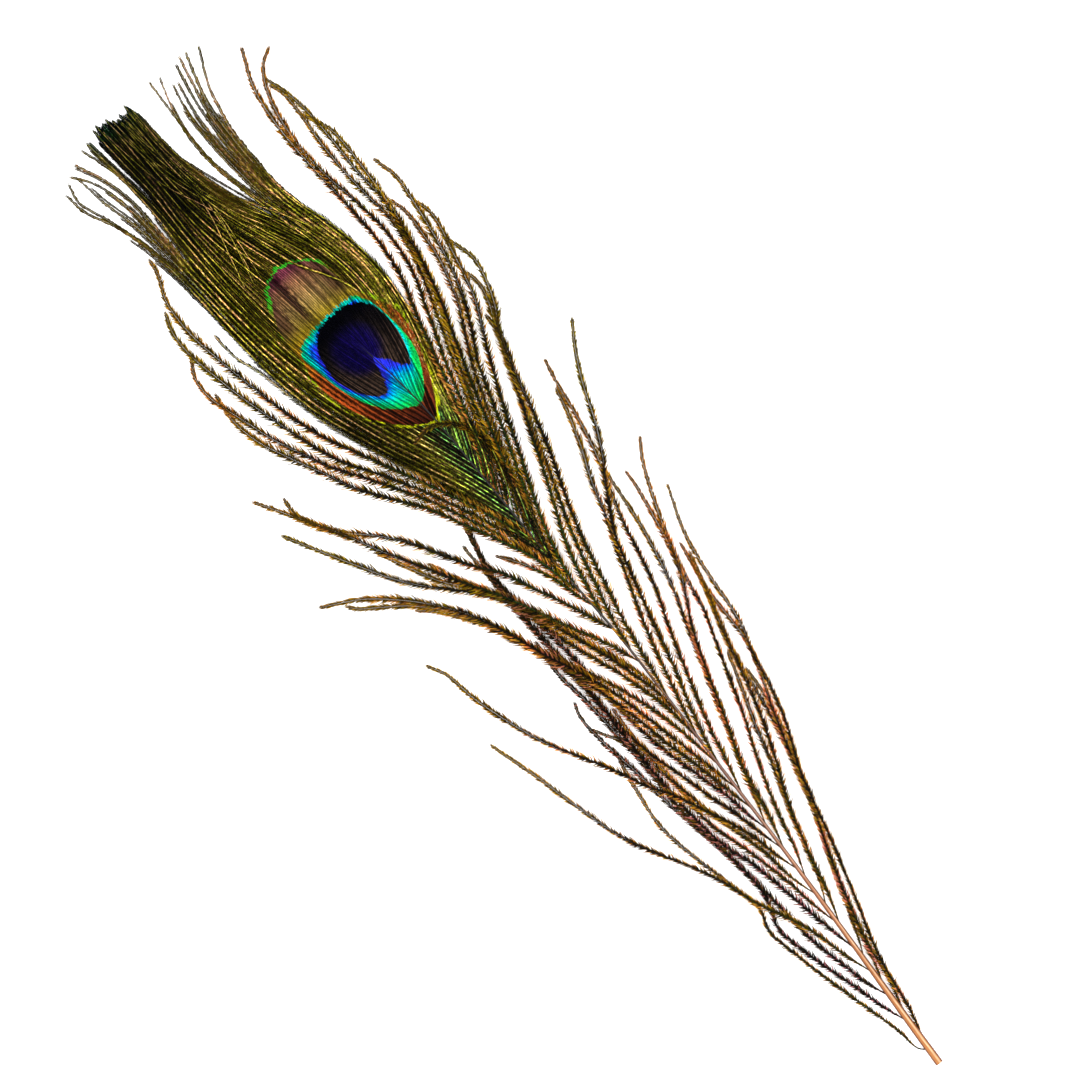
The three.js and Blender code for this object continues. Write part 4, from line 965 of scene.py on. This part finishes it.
# Painted shade: the dark colour of the sheet under the close vane, which stands in for the shade
# between its barbs
def shade_sheet_finish():
    r = Recipe("shadowed web", roughness=0.7)
    x, y = r.place()
    streak = r.streaks(x, 1.6, y, 0.12, 4)
    r.set("Base Color", r.ramp(streak, [
        (0, 12, 11, 6), (0.5, 34, 30, 12), (1, 58, 50, 20)]))
    return r.material


def floor_finish():
    r = Recipe("pale paper", roughness=0.9, specular=0.1)
    found = r.node("TexCoord").outputs["Object"]
    grain = r.noise(found, 60, 3)
    r.set("Base Color", r.mix(grain, paint(250, 250, 250), paint(253, 253, 253)))
    r.shader.inputs["Emission Color"].default_value = (1, 1, 1, 1)
    r.shader.inputs["Emission Strength"].default_value = 0.4
    return r.material

# ---- Shaft, and the sheet of painted shade under the vane -----------------------------------

SHAFT_SIDES = 14
SHAFT_SECTIONS = 46
QUILL_WALL = 0.3
QUILL_HOLLOW = 2.5  # depth


def shaft_section(height, lean):
    """Where a section of the shaft lies: its middle, turned across the shaft."""
    width = shaft_width(height)
    middle = np.array([shaft_x(height), height, shaft_lift(height) + width / 2])
    place = (middle - BOX_MIDDLE) * MM
    return Matrix.Translation(place) @ lean @ Matrix.Diagonal((width / 2 * MM,) * 3).to_4x4()


def make_shaft(material):
    bm = bmesh.new()
    heights = np.linspace(0, 1, SHAFT_SECTIONS) ** 1.15 * SHAFT_LINE[-1][1]
    upright = Matrix.Rotation(np.radians(-90), 4, "X")
    ring = bmesh.ops.create_circle(bm, cap_ends=True, segments=SHAFT_SIDES, radius=1.0)["verts"]
    unit = [vert.co.copy() for vert in ring]
    face = bm.faces[:][0]
    for number, height in enumerate(heights):
        slope = shaft_x(height + 0.5) - shaft_x(height - 0.5)
        lean = Matrix.Rotation(-np.arctan(slope), 4, "Z") @ upright
        section = shaft_section(height, lean)
        if number:
            face = bmesh.ops.extrude_discrete_faces(bm, faces=[face])["faces"][0]
        for vert, co in zip(face.verts, unit):
            vert.co = section @ co
    bm.faces.ensure_lookup_table()
    bmesh.ops.recalc_face_normals(bm, faces=bm.faces)
    low = min(bm.faces, key=lambda f: f.calc_center_median().y)
    bmesh.ops.inset_region(bm, faces=[low], thickness=QUILL_WALL * MM)
    inner = bmesh.ops.extrude_discrete_faces(bm, faces=[low])["faces"]
    bmesh.ops.translate(bm, verts=inner[0].verts, vec=(0, QUILL_HOLLOW * MM, 0))
    mesh = bpy.data.meshes.new("shaft")
    bm.to_mesh(mesh)
    bm.free()
    mesh.shade_smooth()
    finished("shaft", mesh, material)


SHADE_SHEET_OUTLINE = [
  [11, 170], [8.6, 178], [4.2, 190], [-0.6, 202], [-4.2, 213], [-6.6, 223], [-7.8, 233],
  [-8.4, 244], [-8, 254], [-6.8, 262], [-5.6, 268], [-4.6, 274], [-3.6, 280], [-2.4, 287],
  [-1.6, 294], [1.6, 295.5], [4.8, 294], [5.8, 287], [6.8, 280], [9.6, 269.5], [14, 261],
  [18, 255.5], [21.4, 250], [23.6, 241], [24.4, 231], [24, 221], [22.4, 209], [19.6, 197],
  [16.4, 185], [13, 174],
]
SHADE_SHEET_BOTTOM, SHADE_SHEET_TOP = 0.3, 0.62
SORT_ALONG = Vector((1.0, 0.37, 0.11))  # the web's faces are put in one order, the same each run


def make_shade_sheet(material):
    """A dark sheet of painted shade, low under the close vane, which shuts the gaps between its
    barbs.
    """
    bm = bmesh.new()
    line = curve_through(SHADE_SHEET_OUTLINE, closed=True)[::3]
    verts = [bm.verts.new((np.append(place, SHADE_SHEET_BOTTOM) - BOX_MIDDLE) * MM) for place in line]
    face = bm.faces.new(verts)
    top = bmesh.ops.extrude_face_region(bm, geom=[face])
    lifted = [item for item in top["geom"] if isinstance(item, bmesh.types.BMVert)]
    bmesh.ops.translate(bm, verts=lifted, vec=(0, 0, (SHADE_SHEET_TOP - SHADE_SHEET_BOTTOM) * MM))
    bmesh.ops.recalc_face_normals(bm, faces=bm.faces)
    bm.faces.sort(key=lambda f: f.calc_center_median().dot(SORT_ALONG))
    mesh = bpy.data.meshes.new("shade_sheet")
    bm.to_mesh(mesh)
    bm.free()
    finished("shade_sheet", mesh, material)


# ---- The feather's pieces -------------------------------------------------------------------

# How barbs are laid: distance between barbules, radius of the stem, reach of a barbule as a part
# of the barb's width, its slant, how much more open it is near the shaft, how much it strays and
# curls, where along it the blade's sections are and how wide they are, its lift and twist, how
# much shorter and fuller it is at the tip, how much longer and wider it is in the tuft, how ragged
# the coloured zones are, and where along the barb the barbules start and are full.
Look = namedtuple("Look", "pitch stem reach slant open stray curl stations blade lift twist tip "
                  "flare fill ragged bare")
FREE_LOOK = Look(pitch=0.33, stem=0.17, reach=1.42, slant=41, open=0, stray=8, curl=0.4,
                 stations=(0, 0.45, 1), blade=(1.6, 1.05, 0.35), lift=0.07, twist=0.3, tip=0.55,
                 flare=0.0, fill=0.0, ragged=0.0, bare=(1, 11))
VANE_LOOK = Look(pitch=0.3, stem=0.13, reach=1.0, slant=27, open=14, stray=6, curl=0.3,
                 stations=(0, 1), blade=(1.1, 0.65), lift=-0.08, twist=0.3, tip=0.35,
                 flare=-0.25, fill=1.6, ragged=0.35, bare=(-40, 110))
EYE_LOOK = Look(pitch=0.235, stem=0.07, reach=0.5, slant=25, open=8, stray=3, curl=0.2,
                stations=(0, 1), blade=(1.0, 0.7), lift=-0.05, twist=0.25, tip=0.1,
                flare=0.9, fill=0.4, ragged=0.4, bare=(-20, 20))

BEYOND_EYE = 120.0  # jitter that keeps the eye's colours off a barb that lies over it
OVER_EYE_ROOT = 180  # single locks with a root above this lie over the eye


def lay_side(side, free_locks, vane_locks, eye_locks, free_material, vane_material):
    """All barbs of one side of the shaft, as its loose, vane and eye pieces."""
    random = np.random.default_rng(11 if side == "left" else 12)
    free = guides_of(free_locks, LOOSE, random)
    vane = guides_of(vane_locks, CLOSE, random)
    eye = guides_of(eye_locks, TUFT, random)
    loose_barbs, inner_barbs = barbs_between(free + vane[:1], random)
    vane_barbs = inner_barbs + sum(barbs_between(vane + eye[:1], random), [])
    eye_barbs = sum(barbs_between(eye, random), [])
    if side == "right":
        for guide in guides_of(ACROSS_LOCKS, ACROSS, random):
            height = height_of(guide, guide.rise, guide.root)
            if guide.root > OVER_EYE_ROOT:
                height -= 1.4 * (1 - soft_step(t_line[:, 0], 0.4, 0.6))
                height = np.maximum(height, 0.3)
                vane_barbs.append(Barb(guide.root, 1.2, guide.line, height, 0.8, 1.0, BEYOND_EYE))
            else:
                height = np.maximum(height, 0.3)
                loose_barbs.append(Barb(guide.root, guide.width, guide.line, height, 0, 0.14, 0))
    else:  # the middle barb of the eye, where both sides meet
        last = eye[-1]
        height = height_of(last, last.rise, last.root)
        eye_barbs.append(Barb(last.root, last.width, last.line, height, last.tone, 0.4, 0.0))
    slanted_locks = LEFT_SLANTED_LOCKS if side == "left" else RIGHT_SLANTED_LOCKS
    for guide in guides_of(slanted_locks, TUFT, random):
        height = height_of(guide, guide.rise, guide.root)
        height += 0.5 * soft_step(guide.line[:, 1], 246, 260)
        eye_barbs.append(Barb(guide.root, guide.width, guide.line, height, guide.tone, 0.95, 0.0))
    seed = 100 if side == "left" else 200
    lay_barbs("barbs_" + side, loose_barbs, FREE_LOOK, free_material, "barbs", seed)
    lay_barbs("vane_" + side, vane_barbs, VANE_LOOK, vane_material, "barbs", seed + 1, True)
    lay_barbs("eye_" + side, eye_barbs, EYE_LOOK, vane_material, "eye", seed + 2, True)


loose_barb, iridescent_vane = loose_barb_finish(), vane_finish()
make_shaft(shaft_finish())
make_shade_sheet(shade_sheet_finish())
lay_side("left", LEFT_LOCKS, LEFT_VANE_LOCKS, LEFT_EYE_LOCKS, loose_barb, iridescent_vane)
lay_side("right", RIGHT_LOCKS, RIGHT_VANE_LOCKS, RIGHT_EYE_LOCKS, loose_barb, iridescent_vane)

# ---- Floor, light and camera ----------------------------------------------------------------

FLOOR_SIZE = 3.0
bm = bmesh.new()
bmesh.ops.create_grid(bm, x_segments=1, y_segments=1, size=FLOOR_SIZE / 2)
bmesh.ops.translate(bm, verts=bm.verts, vec=(0, 0, -0.1 * MM))
floor_mesh = bpy.data.meshes.new("floor")
bm.to_mesh(floor_mesh)
bm.free()
floor_mesh.materials.append(floor_finish())
floor = bpy.data.objects.new("floor", floor_mesh)
bpy.context.scene.collection.objects.link(floor)

LEAN = 41.7  # the feather leans this far to the left of upright, in degrees
CAMERA_PLACE = (4.60 * MM, 6.21 * MM, 1.5)
FRAME_WIDTH = 259.2 * MM
camera_data = bpy.data.cameras.new("camera")
camera_data.sensor_width = 36
camera_data.lens = camera_data.sensor_width * CAMERA_PLACE[2] / FRAME_WIDTH
camera = bpy.data.objects.new("camera", camera_data)
camera.location = CAMERA_PLACE
camera.rotation_euler = (0, 0, -np.radians(LEAN))
bpy.context.scene.collection.objects.link(camera)
bpy.context.scene.camera = camera


def soft_light(name, place, size, power):
    data = bpy.data.lights.new(name, "AREA")
    data.shape = "DISK"
    data.size = size
    data.energy = power
    light = bpy.data.objects.new(name, data)
    light.location = place
    light.rotation_euler = (-Vector(place)).to_track_quat("-Z", "Y").to_euler()
    bpy.context.scene.collection.objects.link(light)


soft_light("key_light", (-0.55, 0.75, 1.1), 0.9, 9.0)
soft_light("fill_light", (0.8, -0.5, 1.2), 1.2, 4.0)
world = bpy.data.worlds.new("studio")
world.use_nodes = True
world.node_tree.nodes["Background"].inputs["Color"].default_value = (1, 1, 1, 1)
world.node_tree.nodes["Background"].inputs["Strength"].default_value = 1.6
bpy.context.scene.world = world
bpy.context.scene.view_settings.view_transform = "Standard"
